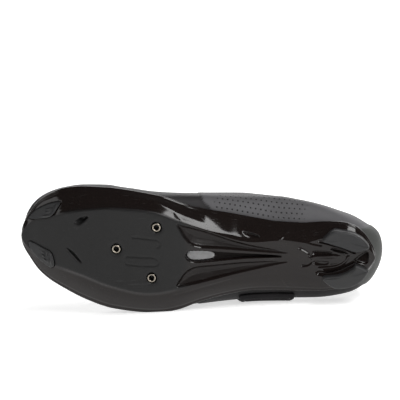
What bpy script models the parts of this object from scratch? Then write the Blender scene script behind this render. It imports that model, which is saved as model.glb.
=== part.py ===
"""Road cycling shoe for the right foot, lying on its outer side.

It is modelled upright first: x runs from heel to toe, y towards the inner side of the foot, z up
from the ground under the heel pads. The last step turns it onto its outer side.
"""

import bmesh
import bpy
import numpy as np
from mathutils import Matrix, Vector

# Sizes in metres.
LENGTH = 0.280
BREADTH = 0.098
HEIGHT = 0.080
WALL = 0.0020
GAP = 0.0003
FEATHER = 0.0030
EDGE = 0.0022
BOWL_SOFT = 0.0015
INSOLE = 0.0035
TONGUE = 0.0040
TONGUE_GAP = 0.0007
TONGUE_RISE = 0.024
STRAP = 0.0020
STRAP_GAP = 0.0011
COUNTER = 0.0008
CUFF = 0.0010
PAD_CHAMFER = 0.0009
PAD_GAP = 0.0005
INSOLE_GAP = 0.0013
SEAT_GAP = 0.0006
TOE_PAD_PROUD = 0.0012
TOE_PAD_DEPTH = 0.0022
INSERT_OUTER = 0.0033
INSERT_BORE = 0.0021
INSERT_DEPTH = 0.0058
RECESS_DEPTH = 0.0045
SLOT_SKIN = 0.0022
VENT_DEPTH = 0.0035
MESH_THICK = 0.0009

# How finely the curved pieces are cut up.
SOLE_STATIONS = 43
SOLE_ACROSS = 17
UPPER_STATIONS = 33
LOWER_STEPS = 4
ROOF_STEPS = 9
SKIN_STATIONS = 161

# Outsole, in hundredths: x of LENGTH, the y columns of BREADTH, the heights of HEIGHT.
SOLE_COLUMNS = ("x", "lat", "med", "lat_z", "med_z", "tread_lat", "tread_med", "under", "bed")
SOLE_SIZES = (LENGTH, BREADTH, BREADTH, HEIGHT, HEIGHT, BREADTH, BREADTH, HEIGHT, HEIGHT)
SOLE_ROWS = (
    (1.8, 0.0, 0.0, 15.0, 15.0, 0.0, 0.0, 11.2, 18.8),
    (3.2, -10.8, 11.0, 15.0, 15.0, -6.1, 6.1, 9.5, 18.2),
    (5.2, -18.3, 18.4, 15.0, 15.0, -12.2, 12.2, 8.5, 18.1),
    (8.2, -23.7, 24.3, 15.0, 15.4, -16.3, 16.3, 8.1, 18.1),
    (11.8, -26.7, 26.1, 15.0, 16.2, -18.4, 18.4, 8.1, 18.1),
    (16.1, -28.8, 25.3, 15.0, 18.1, -16.3, 14.3, 8.8, 18.1),
    (22.9, -29.7, 23.1, 15.8, 21.2, -12.2, 9.2, 10.0, 18.1),
    (28.6, -29.9, 22.9, 16.2, 23.8, -13.3, 10.7, 10.6, 18.1),
    (34.6, -30.8, 24.8, 16.2, 25.0, -16.3, 8.4, 10.0, 17.5),
    (41.8, -34.9, 28.1, 15.6, 23.8, -20.9, 10.2, 8.1, 15.2),
    (49.3, -41.6, 31.0, 14.4, 22.5, -25.5, 17.9, 4.5, 11.9),
    (55.7, -49.2, 35.3, 13.8, 21.2, -28.8, 24.5, 1.1, 9.2),
    (60.0, -51.9, 39.6, 13.8, 19.4, -32.2, 29.1, 0.0, 8.2),
    (64.3, -52.4, 42.0, 13.8, 18.1, -33.3, 31.8, 0.0, 8.1),
    (73.6, -50.3, 45.5, 13.9, 17.5, -28.6, 32.6, 0.0, 8.3),
    (75.7, -49.0, 45.9, 14.1, 17.5, -27.1, 32.0, 0.5, 8.5),
    (81.4, -43.7, 46.0, 15.2, 18.1, -21.4, 29.6, 3.0, 10.8),
    (87.5, -35.9, 43.9, 17.5, 20.0, -17.3, 25.1, 8.5, 15.6),
    (91.4, -30.1, 38.8, 20.0, 22.5, -15.3, 20.4, 13.8, 20.0),
    (94.6, -23.3, 32.7, 23.1, 25.0, -11.7, 17.3, 18.8, 24.4),
    (97.5, -13.3, 21.9, 26.9, 28.1, -6.1, 13.3, 24.5, 29.5),
    (99.9, 2.4, 2.4, 30.0, 30.0, 2.4, 2.4, 28.5, 32.8),
)

# Upper, in the same shares: its widest line, the line along its top, half the width of the
# opening there, and how far the wall turns in over the foot (0 collar, 100 roof).
UPPER_COLUMNS = ("x", "lat", "med", "wide_z", "ridge", "slit", "top_z", "roof")
UPPER_SIZES = (LENGTH, BREADTH, BREADTH, HEIGHT, BREADTH, BREADTH, HEIGHT, 1.0)
UPPER_ROWS = (
    (0.0, 0.0, 0.0, 45.0, 0.0, 0.0, 97.5, 0),
    (1.1, -13.8, 12.6, 42.5, 0.0, 4.7, 97.5, 0),
    (2.9, -22.4, 17.2, 40.0, 0.0, 10.2, 96.2, 0),
    (5.0, -27.9, 21.1, 38.8, 0.0, 14.9, 93.8, 0),
    (7.9, -32.7, 25.9, 37.5, -0.4, 19.2, 88.8, 0),
    (11.8, -36.0, 29.9, 37.5, -0.8, 23.1, 82.5, 0),
    (16.4, -38.6, 34.0, 38.8, -1.2, 25.1, 78.1, 0),
    (22.9, -40.3, 37.5, 41.2, -1.4, 26.5, 76.9, 5),
    (28.6, -41.4, 39.0, 43.8, -1.5, 26.3, 82.5, 30),
    (35.0, -42.9, 39.0, 45.0, -1.5, 23.0, 95.0, 70),
    (39.3, -44.3, 38.8, 44.5, -1.6, 18.9, 103.8, 92),
    (43.6, -45.9, 39.0, 43.2, -1.7, 13.8, 100.6, 100),
    (50.0, -48.2, 39.4, 40.0, -1.8, 11.0, 91.9, 100),
    (57.1, -50.6, 39.8, 37.5, -1.8, 9.2, 83.1, 100),
    (64.3, -51.8, 41.0, 35.0, -1.6, 7.3, 75.6, 100),
    (69.3, -51.6, 43.0, 34.0, -1.3, 4.1, 71.2, 100),
    (72.5, -51.1, 44.1, 33.8, -1.0, 0.0, 69.0, 100),
    (76.8, -49.2, 45.6, 33.8, -0.6, 0.0, 66.0, 100),
    (82.9, -43.5, 45.1, 34.4, 0.4, 0.0, 63.4, 100),
    (88.6, -35.7, 42.1, 35.6, 1.3, 0.0, 61.2, 100),
    (92.9, -28.6, 37.3, 37.5, 1.9, 0.0, 59.4, 100),
    (96.1, -21.2, 30.9, 39.4, 2.3, 0.0, 58.2, 100),
    (98.6, -10.7, 21.1, 40.9, 2.6, 0.0, 57.2, 100),
    (100.0, 2.7, 2.7, 41.4, 2.7, 0.0, 56.6, 100),
)
THROAT_END = 0.725
TOP_BACK = 0.033
TOP_FRONT = 0.936
LOWER_SHARE = 0.30
LOWER_BEND = 0.30
ROOF_BEND = 0.62
COLLAR_BEND = 0.40
BRIDGE_CROWN = 0.12

# Heel counter and padded cuff: how far along the shoe and how far up they go, and how softly they end.
COUNTER_END = 0.058
COUNTER_LEAN = 0.05
COUNTER_FADE = 0.012
COUNTER_TOP = 0.62
COUNTER_TOP_FADE = 0.06
CUFF_END = 0.42
CUFF_FADE = 0.06
CUFF_LEVEL = 0.88
CUFF_SPAN = 0.22

# Outlines on the outsole, in hundredths of LENGTH and of BREADTH.
HEEL_PAD_MEDIAL = (
    (13.3, 24.4), (10.6, 24.3), (7.3, 20.6), (4.8, 14.2), (4.0, 9.4), (7.0, 6.4),
    (8.7, 9.6), (11.2, 12.3), (13.9, 14.2), (16.9, 14.8),
)
HEEL_PAD_LATERAL = (
    (7.2, -2.6), (3.8, -6.8), (5.1, -14.0), (7.3, -19.2), (10.7, -21.8), (13.2, -22.4),
    (15.8, -18.4), (16.4, -13.2), (13.5, -13.0), (10.1, -9.7),
)
TOE_PAD_MEDIAL = ((97.0, 19.4), (93.6, 27.6), (88.9, 33.4), (90.3, 22.8), (93.6, 20.2))
TOE_PAD_LATERAL = ((97.1, 1.0), (91.5, -5.0), (89.9, -17.0), (91.6, -19.6), (95.0, -12.6))
RECESS_MEDIAL = (
    (56.2, 22.6), (52.9, 4.9), (41.5, 2.9), (33.0, 1.0), (27.4, 1.6), (33.6, 6.6),
    (41.5, 13.2), (49.0, 18.6),
)
RECESS_LATERAL = (
    (55.9, -28.0), (48.0, -24.6), (41.2, -19.4), (33.0, -12.4), (25.0, -5.6), (33.0, -6.0),
    (41.3, -7.1), (52.5, -10.6),
)
SLOT = ((53.9, -2.7), (52.3, 1.4), (41.4, -0.7), (27.5, -1.9), (27.5, -2.9), (41.3, -4.9), (52.3, -8.4))
SLOT_WINDOW = ((53.5, -2.8), (52.2, 0.9), (45.6, -0.5), (45.6, -6.0), (52.2, -7.8))
TOE_VENT_MEDIAL = ((86.0, 16.4), (83.4, 22.6), (80.0, 25.7), (82.2, 20.6), (84.4, 17.0))
TOE_VENT_LATERAL = ((86.9, -0.8), (84.6, -5.2), (81.2, -16.2), (83.4, -12.0), (85.8, -5.6))
CLEAT_HOLES = {"front": (72.5, 0.7), "medial": (61.6, 19.3), "lateral": (62.6, -21.5)}

# Straps: share of LENGTH at the middle and half the width there, for the outer end, the
# crossing over the throat and the inner end.
STRAP_INSTEP = ((30.6, 7.7), (47.0, 4.6), (36.0, 3.6))
STRAP_FOREFOOT = ((60.0, 3.4), (61.5, 4.0), (60.5, 3.4))
TONGUE_MARKS = ((76.5, 15.0), (68.0, 18.0), (59.0, 18.5), (50.0, 17.5), (43.5, 14.0), (41.5, 13.6))
STRAP_LOW = {"instep": (-0.93, 0.38), "forefoot": (-0.72, 0.46)}

COLOURS = {
    "outsole": (0.010, 0.010, 0.011),
    "rubber": (0.030, 0.030, 0.031),
    "upper": (0.034, 0.032, 0.033),
    "strap": (0.020, 0.020, 0.021),
    "lining": (0.060, 0.060, 0.063),
    "mesh": (0.280, 0.280, 0.290),
    "insert": (0.620, 0.610, 0.590),
}
ROUGHNESS = {
    "outsole": 0.15,
    "rubber": 0.70,
    "upper": 0.60,
    "strap": 0.65,
    "lining": 0.90,
    "mesh": 0.80,
    "insert": 0.28,
}


def columns_of(names, sizes, rows):
    """Columns of a table in metres, with the station s of each row: 0 at the heel, 1 at the toe."""
    values = np.array(rows, float) / 100
    table = {name: values[:, i] * size for i, (name, size) in enumerate(zip(names, sizes))}
    span = table["x"][-1] - table["x"][0]
    table["s"] = np.arccos(1 - 2 * (table["x"] - table["x"][0]) / span) / np.pi
    return table


SOLE = columns_of(SOLE_COLUMNS, SOLE_SIZES, SOLE_ROWS)
UPPER = columns_of(UPPER_COLUMNS, UPPER_SIZES, UPPER_ROWS)


def slopes(knots, values):
    """Slopes that keep a level stretch level and let no curve swing past its rows."""
    gap = np.diff(knots)
    rate = np.diff(values) / gap
    before = rate[:-1]
    after = rate[1:]
    same = before * after > 0
    wide = 2 * gap[1:] + gap[:-1]
    near = gap[1:] + 2 * gap[:-1]
    share = wide / np.where(same, before, 1) + near / np.where(same, after, 1)
    middle = np.where(same, (wide + near) / np.where(same, share, 1), 0)
    return np.concatenate([rate[:1], middle, rate[-1:]])


def at(table, name, s):
    """One column of a table at stations s, as a smooth curve through its rows."""
    knots = table["s"]
    values = table[name]
    slope = slopes(knots, values)
    s = np.clip(s, 0, 1)
    i = np.clip(np.searchsorted(knots, s, side="right") - 1, 0, len(knots) - 2)
    step = knots[i + 1] - knots[i]
    t = (s - knots[i]) / step
    return (
        values[i] * (1 + 2 * t) * (1 - t) ** 2
        + slope[i] * step * t * (1 - t) ** 2
        + values[i + 1] * t * t * (3 - 2 * t)
        + slope[i + 1] * step * t * t * (t - 1)
    )


def travel(s):
    """Share of the way along the shoe at station s."""
    return (1 - np.cos(np.pi * s)) / 2


def station(table, x):
    share = (x - table["x"][0]) / (table["x"][-1] - table["x"][0])
    return np.arccos(1 - 2 * np.clip(share, 0, 1)) / np.pi


def along(table, s):
    return table["x"][0] + (table["x"][-1] - table["x"][0]) * travel(s)


def unit(vectors):
    return vectors / np.maximum(np.linalg.norm(vectors, axis=-1, keepdims=True), 1e-12)


def under(x, y):
    """Height of the outsole's lower face."""
    s = station(SOLE, x)
    flat = at(SOLE, "under", s)
    height = np.array(flat)
    for side in ("lat", "med"):
        edge = at(SOLE, "tread_" + side, s)
        rim = at(SOLE, side, s)
        reach = np.where(np.abs(rim - edge) < 1e-6, 1e-6, rim - edge)
        w = np.clip((y - edge) / reach, 0, 1)
        height = height + (at(SOLE, side + "_z", s) - flat) * w**1.3
    return height


def bowl(x, y):
    """Height of the outsole's upper face: the foot bed, with the rim standing round it."""
    bed = at(SOLE, "bed", station(SOLE, x))
    rising = under(x, y) + EDGE
    return (bed + rising + np.sqrt((bed - rising) ** 2 + BOWL_SOFT**2)) / 2


def rim(s, side, inset):
    """Plan position of the outsole's rim, moved inwards by inset."""
    def line(q):
        return np.stack([along(SOLE, q), at(SOLE, side, q)], axis=-1)

    small = 1e-3
    heading = unit(line(np.minimum(s + small, 1)) - line(np.maximum(s - small, 0)))
    heading = np.where(s[:, None] < small, (0.0, -1.0 if side == "lat" else 1.0), heading)
    heading = np.where(s[:, None] > 1 - small, (0.0, 1.0 if side == "lat" else -1.0), heading)
    inward = np.stack([-heading[:, 1], heading[:, 0]], axis=-1)
    if side == "med":
        inward = -inward
    return line(s) + inward * inset


def skin(s, t, side):
    """Outer face of the upper: s along the shoe, t from the outsole (0) to the top line (1)."""
    edge = rim(s, side, 0.0)
    foot = np.zeros((len(s), 3))
    foot[:, :2] = rim(s, side, FEATHER)
    foot[:, 2] = bowl(edge[:, 0], edge[:, 1]) + SEAT_GAP
    wide = np.stack([along(UPPER, s), at(UPPER, side, s), at(UPPER, "wide_z", s)], axis=-1)
    half = np.where(s < THROAT_STATION, np.maximum(at(UPPER, "slit", s), 0), 0)
    half = half * (-1 if side == "lat" else 1)
    top_x = LENGTH * (TOP_BACK + (TOP_FRONT - TOP_BACK) * travel(s))
    top = np.stack([top_x, at(UPPER, "ridge", s) + half, at(UPPER, "top_z", s)], axis=-1)
    rise = (top - wide)[:, 2]
    roof = np.clip(at(UPPER, "roof", s), 0, 1)
    low_turn = wide.copy()
    low_turn[:, 2] = foot[:, 2] + LOWER_BEND * (wide - foot)[:, 2]
    first = wide.copy()
    first[:, 2] += ROOF_BEND * rise
    second = top.copy()
    second[:, :2] += (roof * ROOF_BEND)[:, None] * (wide - top)[:, :2]
    second[:, 2] -= (1 - roof) * COLLAR_BEND * rise
    low = np.clip(t / LOWER_SHARE, 0, 1)[None, :, None]
    high = np.clip((t - LOWER_SHARE) / (1 - LOWER_SHARE), 0, 1)[None, :, None]
    lower = foot[:, None] * (1 - low) ** 2 + low_turn[:, None] * 2 * low * (1 - low)
    lower = lower + wide[:, None] * low**2
    upper = wide[:, None] * (1 - high) ** 3 + first[:, None] * 3 * high * (1 - high) ** 2
    upper = upper + second[:, None] * 3 * high**2 * (1 - high) + top[:, None] * high**3
    return np.where((t < LOWER_SHARE)[None, :, None], lower, upper)


THROAT_STATION = station(UPPER, LENGTH * THROAT_END)


def skin_lines():
    """The whole skin by stations, bridged over the throat, with the arc length across it."""
    s = np.linspace(0.02, 0.98, SKIN_STATIONS)
    t = np.linspace(0.02, 1, 50)
    lateral = skin(s, t, "lat")
    medial = skin(s, t, "med")[:, ::-1]
    v = np.linspace(-1, 1, 11)[None, 1:-1, None]
    left = lateral[:, -1:]
    right = medial[:, :1]
    bridge = left * (1 - v) / 2 + right * (1 + v) / 2
    crown = BRIDGE_CROWN * np.linalg.norm(right - left, axis=-1, keepdims=True)
    bridge[..., 2:] += crown * (1 - v**2)
    lines = np.concatenate([lateral, bridge, medial], axis=1)
    steps = np.linalg.norm(np.diff(lines, axis=1), axis=-1)
    arc = np.concatenate([np.zeros((len(s), 1)), np.cumsum(steps, axis=1)], axis=1)
    middle = lateral.shape[1] + bridge.shape[1] // 2
    return s, lines, arc - arc[:, middle : middle + 1]


SKIN_S, SKIN_LINES, SKIN_ARC = skin_lines()


def across(x, d):
    """Point of the bridged skin at x along the shoe and arc length d from its middle line."""
    place = np.interp(station(UPPER, np.array([x])), SKIN_S, np.arange(len(SKIN_S)))[0]
    low = int(min(place, len(SKIN_S) - 2))
    ends = [
        np.stack([np.interp(d, SKIN_ARC[k], SKIN_LINES[k][:, axis]) for axis in range(3)], axis=-1)
        for k in (low, low + 1)
    ]
    return ends[0] * (low + 1 - place) + ends[1] * (place - low)


def reach(x, share):
    """Arc length at a share of the way from the middle line (0) down to the outsole (-1 or 1)."""
    k = int(np.argmin(np.abs(SKIN_S - station(UPPER, np.array([x]))[0])))
    return -share * SKIN_ARC[k][0] if share < 0 else share * SKIN_ARC[k][-1]


def normals(grid, closed=False):
    if closed:
        down = np.roll(grid, -1, axis=0) - np.roll(grid, 1, axis=0)
    else:
        down = np.gradient(grid, axis=0)
    return unit(np.cross(down, np.gradient(grid, axis=1)))


def faces_between(rows, columns, base, step):
    """Quads of a grid whose vertex numbers start at base; step -1 turns them over."""
    quads = []
    for i in range(rows - 1):
        for j in range(columns - 1):
            a = base + i * columns + j
            quads.append((a, a + columns, a + columns + 1, a + 1)[::step])
    return quads


def sheet(grid_low, grid_high):
    """Closed shell between two grids of the same shape."""
    rows, columns = grid_low.shape[:2]
    count = rows * columns
    points = np.concatenate([grid_low.reshape(-1, 3), grid_high.reshape(-1, 3)])
    quads = faces_between(rows, columns, 0, -1) + faces_between(rows, columns, count, 1)
    border = [(0, j) for j in range(columns)]
    border += [(i, columns - 1) for i in range(1, rows)]
    border += [(rows - 1, j) for j in range(columns - 2, -1, -1)]
    border += [(i, 0) for i in range(rows - 2, 0, -1)]
    around = [i * columns + j for i, j in border]
    for a, b in zip(around, around[1:] + around[:1]):
        quads.append((a, b, b + count, a + count))
    return points, quads


def build(name, points, faces, collection, look=None):
    """Object from points and faces, with doubled points welded and faces turned outwards."""
    mesh = bpy.data.meshes.new(name)
    mesh.from_pydata([tuple(p) for p in points], [], faces)
    bm = bmesh.new()
    bm.from_mesh(mesh)
    bmesh.ops.remove_doubles(bm, verts=bm.verts, dist=2e-6)
    bmesh.ops.dissolve_degenerate(bm, edges=bm.edges, dist=1e-6)
    bmesh.ops.recalc_face_normals(bm, faces=bm.faces)
    bm.to_mesh(mesh)
    bm.free()
    obj = bpy.data.objects.new(name, mesh)
    collection.objects.link(obj)
    if look:
        mesh.materials.append(material(name, look))
    return obj


def material(name, look):
    made = bpy.data.materials.new(name)
    made.use_nodes = True
    shader = made.node_tree.nodes["Principled BSDF"]
    shader.inputs["Base Color"].default_value = (*COLOURS[look], 1.0)
    shader.inputs["Roughness"].default_value = ROUGHNESS[look]
    shader.inputs["Metallic"].default_value = 1.0 if look == "insert" else 0.0
    return made


def outline_of(shares):
    return np.array(shares, float) / 100 * (LENGTH, BREADTH)


def grown(outline, amount):
    """Outline moved outwards by amount along its corners."""
    ahead = unit(np.roll(outline, -1, axis=0) - outline)
    behind = np.roll(ahead, 1, axis=0)
    area = np.sum(np.cross(outline, np.roll(outline, -1, axis=0)))
    turn = np.sign(area)
    normal = unit(ahead + behind)
    spread = np.stack([normal[:, 1], -normal[:, 0]], axis=-1) * turn
    slant = np.sqrt(np.clip((1 + np.sum(ahead * behind, axis=-1)) / 2, 0.25, 1))
    return outline + spread * (amount / slant)[:, None]


def rounded(outline):
    """Outline with its corners cut back."""
    following = np.roll(outline, -1, axis=0)
    pairs = [outline * 0.8 + following * 0.2, outline * 0.2 + following * 0.8]
    return np.stack(pairs, axis=1).reshape(-1, 2)


def column(loops):
    """Closed solid from stacked loops, with one face at each end."""
    count = len(loops[0])
    points = np.concatenate(loops)
    faces = []
    for k in range(len(loops) - 1):
        for i in range(count):
            j = (i + 1) % count
            faces.append((k * count + i, k * count + j, (k + 1) * count + j, (k + 1) * count + i))
    last = (len(loops) - 1) * count
    faces.append(tuple(range(count))[::-1])
    faces.append(tuple(range(last, last + count)))
    return points, faces


def raised(outline, height):
    return np.column_stack([outline, np.broadcast_to(height, len(outline))])


def pad(name, shares, low, high, chamfer, collection):
    """Tread block: its lower face at height low(x, y), its upper face at high(x, y)."""
    outline = rounded(outline_of(shares))
    centre = outline.mean(axis=0)
    inner = grown(outline, -chamfer)
    loops = []
    for share in (0.4, 1.0):
        around = centre + (inner - centre) * share
        loops.append(raised(around, low(*around.T)))
    loops.append(raised(outline, low(*outline.T) + chamfer))
    for share in (1.0, 0.75, 0.5, 0.25):
        around = centre + (outline - centre) * share
        loops.append(raised(around, high(*around.T)))
    points, faces = column(loops)
    return build(name, points, faces, collection, "rubber")


def cutter(name, shares, low, high, grow, collection, tip=0.05):
    """Prism for a pocket in the outsole, from height low to height high(x, y)."""
    outline = grown(rounded(outline_of(shares)), grow)
    shrunk = outline + (outline.mean(axis=0) - outline) * tip
    points, faces = column([raised(outline, low), raised(shrunk, high(*shrunk.T))])
    return build(name, points, faces, collection)


def ring(centre, outer, inner, low, high):
    turn = np.linspace(0, 2 * np.pi, 17)[:-1]
    circle = np.stack([np.cos(turn), np.sin(turn)], axis=-1)
    loops = []
    for radius, height in ((inner, low), (outer, low), (outer, high), (inner, high)):
        loops.append(raised(centre + circle * radius, height))
    count = len(turn)
    faces = []
    for k in range(4):
        for i in range(count):
            j = (i + 1) % count
            m = (k + 1) % 4
            faces.append((k * count + i, k * count + j, m * count + j, m * count + i))
    return np.concatenate(loops), faces


def outsole(parts, cutters):
    s = np.linspace(0, 1, SOLE_STATIONS)
    share = np.linspace(0, 1, SOLE_ACROSS)
    x = np.repeat(along(SOLE, s)[:, None], SOLE_ACROSS, axis=1)
    lateral = at(SOLE, "lat", s)[:, None]
    medial = at(SOLE, "med", s)[:, None]
    y = lateral + (medial - lateral) * share
    lower = np.stack([x, y, under(x, y)], axis=-1)
    upper = np.stack([x, y, bowl(x, y)], axis=-1)
    points, faces = sheet(lower, upper)
    sole = build("outsole", points, faces, parts, "outsole")

    deep = -0.010
    bed = at(SOLE, "bed", station(SOLE, np.array([0.4 * LENGTH])))[0]

    def recess(x, y):
        fade = np.clip((x / LENGTH - 0.24) / 0.24, 0.1, 1)
        return at(SOLE, "under", station(SOLE, x)) + RECESS_DEPTH * fade

    def skin_left(x, y):
        return at(SOLE, "bed", station(SOLE, x)) - SLOT_SKIN

    def pocket(x, y):
        return under(x, y) + TOE_PAD_DEPTH + GAP

    def vent(x, y):
        return under(x, y) + VENT_DEPTH

    def through(x, y):
        return 3 * bed

    cuts = [
        cutter("cut_recess_medial", RECESS_MEDIAL, deep, recess, 0.0, cutters),
        cutter("cut_recess_lateral", RECESS_LATERAL, deep, recess, 0.0, cutters),
        cutter("cut_slot", SLOT, deep, skin_left, 0.0, cutters, 0.02),
        cutter("cut_window", SLOT_WINDOW, deep, through, 0.0, cutters, 0.0),
        cutter("cut_vent_medial", TOE_VENT_MEDIAL, deep, vent, 0.0, cutters),
        cutter("cut_vent_lateral", TOE_VENT_LATERAL, deep, vent, 0.0, cutters),
        cutter("cut_toe_medial", TOE_PAD_MEDIAL, deep, pocket, GAP, cutters, 0.0),
        cutter("cut_toe_lateral", TOE_PAD_LATERAL, deep, pocket, GAP, cutters, 0.0),
    ]
    turn = np.linspace(0, 2 * np.pi, 25)[:-1]
    for key, hole in CLEAT_HOLES.items():
        centre = outline_of([hole])[0]
        circle = centre + (INSERT_OUTER + GAP) * np.stack([np.cos(turn), np.sin(turn)], axis=-1)
        points, faces = column([raised(circle, deep), raised(circle, 2 * bed)])
        cuts.append(build("cut_hole_" + key, points, faces, cutters))
    for cut in cuts:
        modifier = sole.modifiers.new(cut.name, "BOOLEAN")
        modifier.operation = "DIFFERENCE"
        modifier.solver = "EXACT"
        modifier.object = cut
    return sole


def tread_pads(parts):
    def ground(x, y):
        return 0 * x

    def under_sole(x, y):
        return under(x, y) - PAD_GAP

    def proud(x, y):
        return under(x, y) - TOE_PAD_PROUD

    def sunk(x, y):
        return under(x, y) + TOE_PAD_DEPTH

    pad("heel_pad_medial", HEEL_PAD_MEDIAL, ground, under_sole, PAD_CHAMFER, parts)
    pad("heel_pad_lateral", HEEL_PAD_LATERAL, ground, under_sole, PAD_CHAMFER, parts)
    pad("toe_pad_medial", TOE_PAD_MEDIAL, proud, sunk, PAD_CHAMFER / 2, parts)
    pad("toe_pad_lateral", TOE_PAD_LATERAL, proud, sunk, PAD_CHAMFER / 2, parts)


def inserts(parts):
    for key, hole in CLEAT_HOLES.items():
        centre = outline_of([hole])[0]
        points, faces = ring(centre, INSERT_OUTER, INSERT_BORE, 0.0, INSERT_DEPTH)
        build("cleat_insert_" + key, points, faces, parts, "insert")


def vent_mesh(parts):
    outline = grown(rounded(outline_of(SLOT_WINDOW)), -GAP)
    high = at(SOLE, "bed", station(SOLE, outline[:, 0])) - GAP
    points, faces = column([raised(outline, high - MESH_THICK), raised(outline, high)])
    build("vent_mesh", points, faces, parts, "mesh")


def counter_step(s, t, side):
    """How far the heel counter stands out from the quarter behind it."""
    x = along(UPPER, s)[:, None] / LENGTH
    back = np.clip((COUNTER_END - COUNTER_LEAN * t[None, :] - x) / COUNTER_FADE, 0, 1)
    low = np.clip((COUNTER_TOP - t[None, :]) / COUNTER_TOP_FADE, 0, 1)
    return COUNTER * back * low


def cuff(s, t):
    """Padding inside the collar, round the perimeter in the order of the upper's ribs."""
    s = np.concatenate([s, s[1:-1][::-1]])
    behind = np.clip((CUFF_END - along(UPPER, s) / LENGTH) / CUFF_FADE, 0, 1)[:, None]
    near = np.clip(1 - np.abs(t - CUFF_LEVEL) / CUFF_SPAN, 0, 1)[None, :]
    return CUFF * behind * near


def upper(parts):
    s = np.unique(np.append(np.linspace(0, 1, UPPER_STATIONS), THROAT_STATION))
    t = np.concatenate(
        [
            np.linspace(0, LOWER_SHARE, LOWER_STEPS + 1)[:-1],
            np.linspace(LOWER_SHARE, 1, ROOF_STEPS + 1),
        ]
    )
    lateral = skin(s, t, "lat")
    medial = skin(s[1:-1], t, "med")[::-1]
    outer = np.concatenate([lateral, medial])
    normal = normals(outer, closed=True)
    count = len(s)
    total = len(outer)
    for i in range(count):
        twin = (2 * (count - 1) - i) % total
        if s[i] >= THROAT_STATION:
            shared = unit(normal[i, -1] + normal[twin, -1])
            normal[i, -1] = shared
            normal[twin, -1] = shared
    step = np.concatenate([counter_step(s, t, "lat"), counter_step(s[1:-1], t, "med")[::-1]])
    inner = outer - normal * (WALL + cuff(s, t))[..., None]
    outer = outer + normal * step[..., None]
    columns = len(t)
    points = np.concatenate([outer.reshape(-1, 3), inner.reshape(-1, 3)])
    offset = total * columns
    faces = []
    for i in range(total):
        k = (i + 1) % total
        for j in range(columns - 1):
            quad = (i * columns + j, k * columns + j, k * columns + j + 1, i * columns + j + 1)
            faces.append(quad)
            faces.append(tuple(offset + q for q in quad[::-1]))
        a = i * columns
        b = k * columns
        faces.append((a, a + offset, b + offset, b))
        if min(s[min(i, 2 * (count - 1) - i)], s[min(k, 2 * (count - 1) - k) % count]) < THROAT_STATION:
            a += columns - 1
            b += columns - 1
            faces.append((a, b, b + offset, a + offset))
    return build("upper", points, faces, parts, "upper")


def insole(parts):
    s = np.linspace(0.02, 0.98, SOLE_STATIONS - 8)
    inset = FEATHER + WALL + 2 * INSOLE_GAP
    left = rim(s, "lat", inset)
    right = rim(s, "med", inset)
    share = np.linspace(0, 1, 11)[None, :, None]
    plan = left[:, None] * (1 - share) + right[:, None] * share
    low = bowl(plan[..., 0], plan[..., 1]) + INSOLE_GAP
    lower = np.concatenate([plan, low[..., None]], axis=-1)
    upper_face = lower + (0, 0, INSOLE)
    points, faces = sheet(lower, upper_face)
    return build("insole", points, faces, parts, "lining")


def tongue(parts):
    xs = np.array([mark[0] for mark in TONGUE_MARKS]) / 100 * LENGTH
    widths = np.array([mark[1] for mark in TONGUE_MARKS]) / 100 * BREADTH
    fine = np.linspace(0, 1, 13) * (len(xs) - 1)
    xs = np.interp(fine, np.arange(len(xs)), xs)
    widths = np.interp(fine, np.arange(len(widths)), widths)
    v = np.linspace(-1, 1, 9)
    rows = [across(x, w * v) for x, w in zip(xs, widths)]
    base = rows[-1]
    middle = base.mean(axis=0)
    for k in range(1, 6):
        share = k / 5
        lifted = middle + (base - middle) * (1, 1 + 0.55 * share, 1 + 0.10 * share)
        lean = np.array([-0.78 * share, 0.0, 0.70 * share])
        rows.append(lifted + lean * TONGUE_RISE)
    grid = np.array(rows)[::-1]
    normal = normals(grid)
    high = WALL + TONGUE_GAP
    points, faces = sheet(grid - normal * (high + TONGUE), grid - normal * high)
    return build("tongue", points, faces, parts, "lining")


def strap(name, marks, ends, parts):
    """Strap over the throat, from low on the outer side to the inner side."""
    v = np.linspace(-1, 1, 25)
    soft = np.sin(v * np.pi / 2) ** 2
    cross_middle = marks[1][0] / 100
    cross_half = marks[1][1] / 100
    middle = cross_middle + (np.where(v < 0, marks[0][0], marks[2][0]) / 100 - cross_middle) * soft
    half = cross_half + (np.where(v < 0, marks[0][1], marks[2][1]) / 100 - cross_half) * soft
    rows = []
    for side in np.linspace(-1, 1, 5):
        row = []
        for k in range(len(v)):
            x = (middle[k] + side * half[k]) * LENGTH
            low = reach(x, ends[0])
            high = reach(x, ends[1])
            d = low * max(-v[k], 0) + high * max(v[k], 0)
            row.append(across(x, d))
        rows.append(row)
    grid = np.array(rows)
    normal = normals(grid)
    points, faces = sheet(grid + normal * STRAP_GAP, grid + normal * (STRAP_GAP + STRAP))
    return build(name, points, faces, parts, "strap")


def volume_moment(obj):
    """Volume of a closed mesh and the first moments of that volume."""
    bm = bmesh.new()
    bm.from_mesh(obj.data)
    bmesh.ops.triangulate(bm, faces=bm.faces)
    total = 0.0
    moment = Vector()
    for face in bm.faces:
        a, b, c = (v.co for v in face.verts)
        part = a.dot(b.cross(c)) / 6
        total += part
        moment += (a + b + c) * (part / 4)
    bm.free()
    return total, moment


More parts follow.
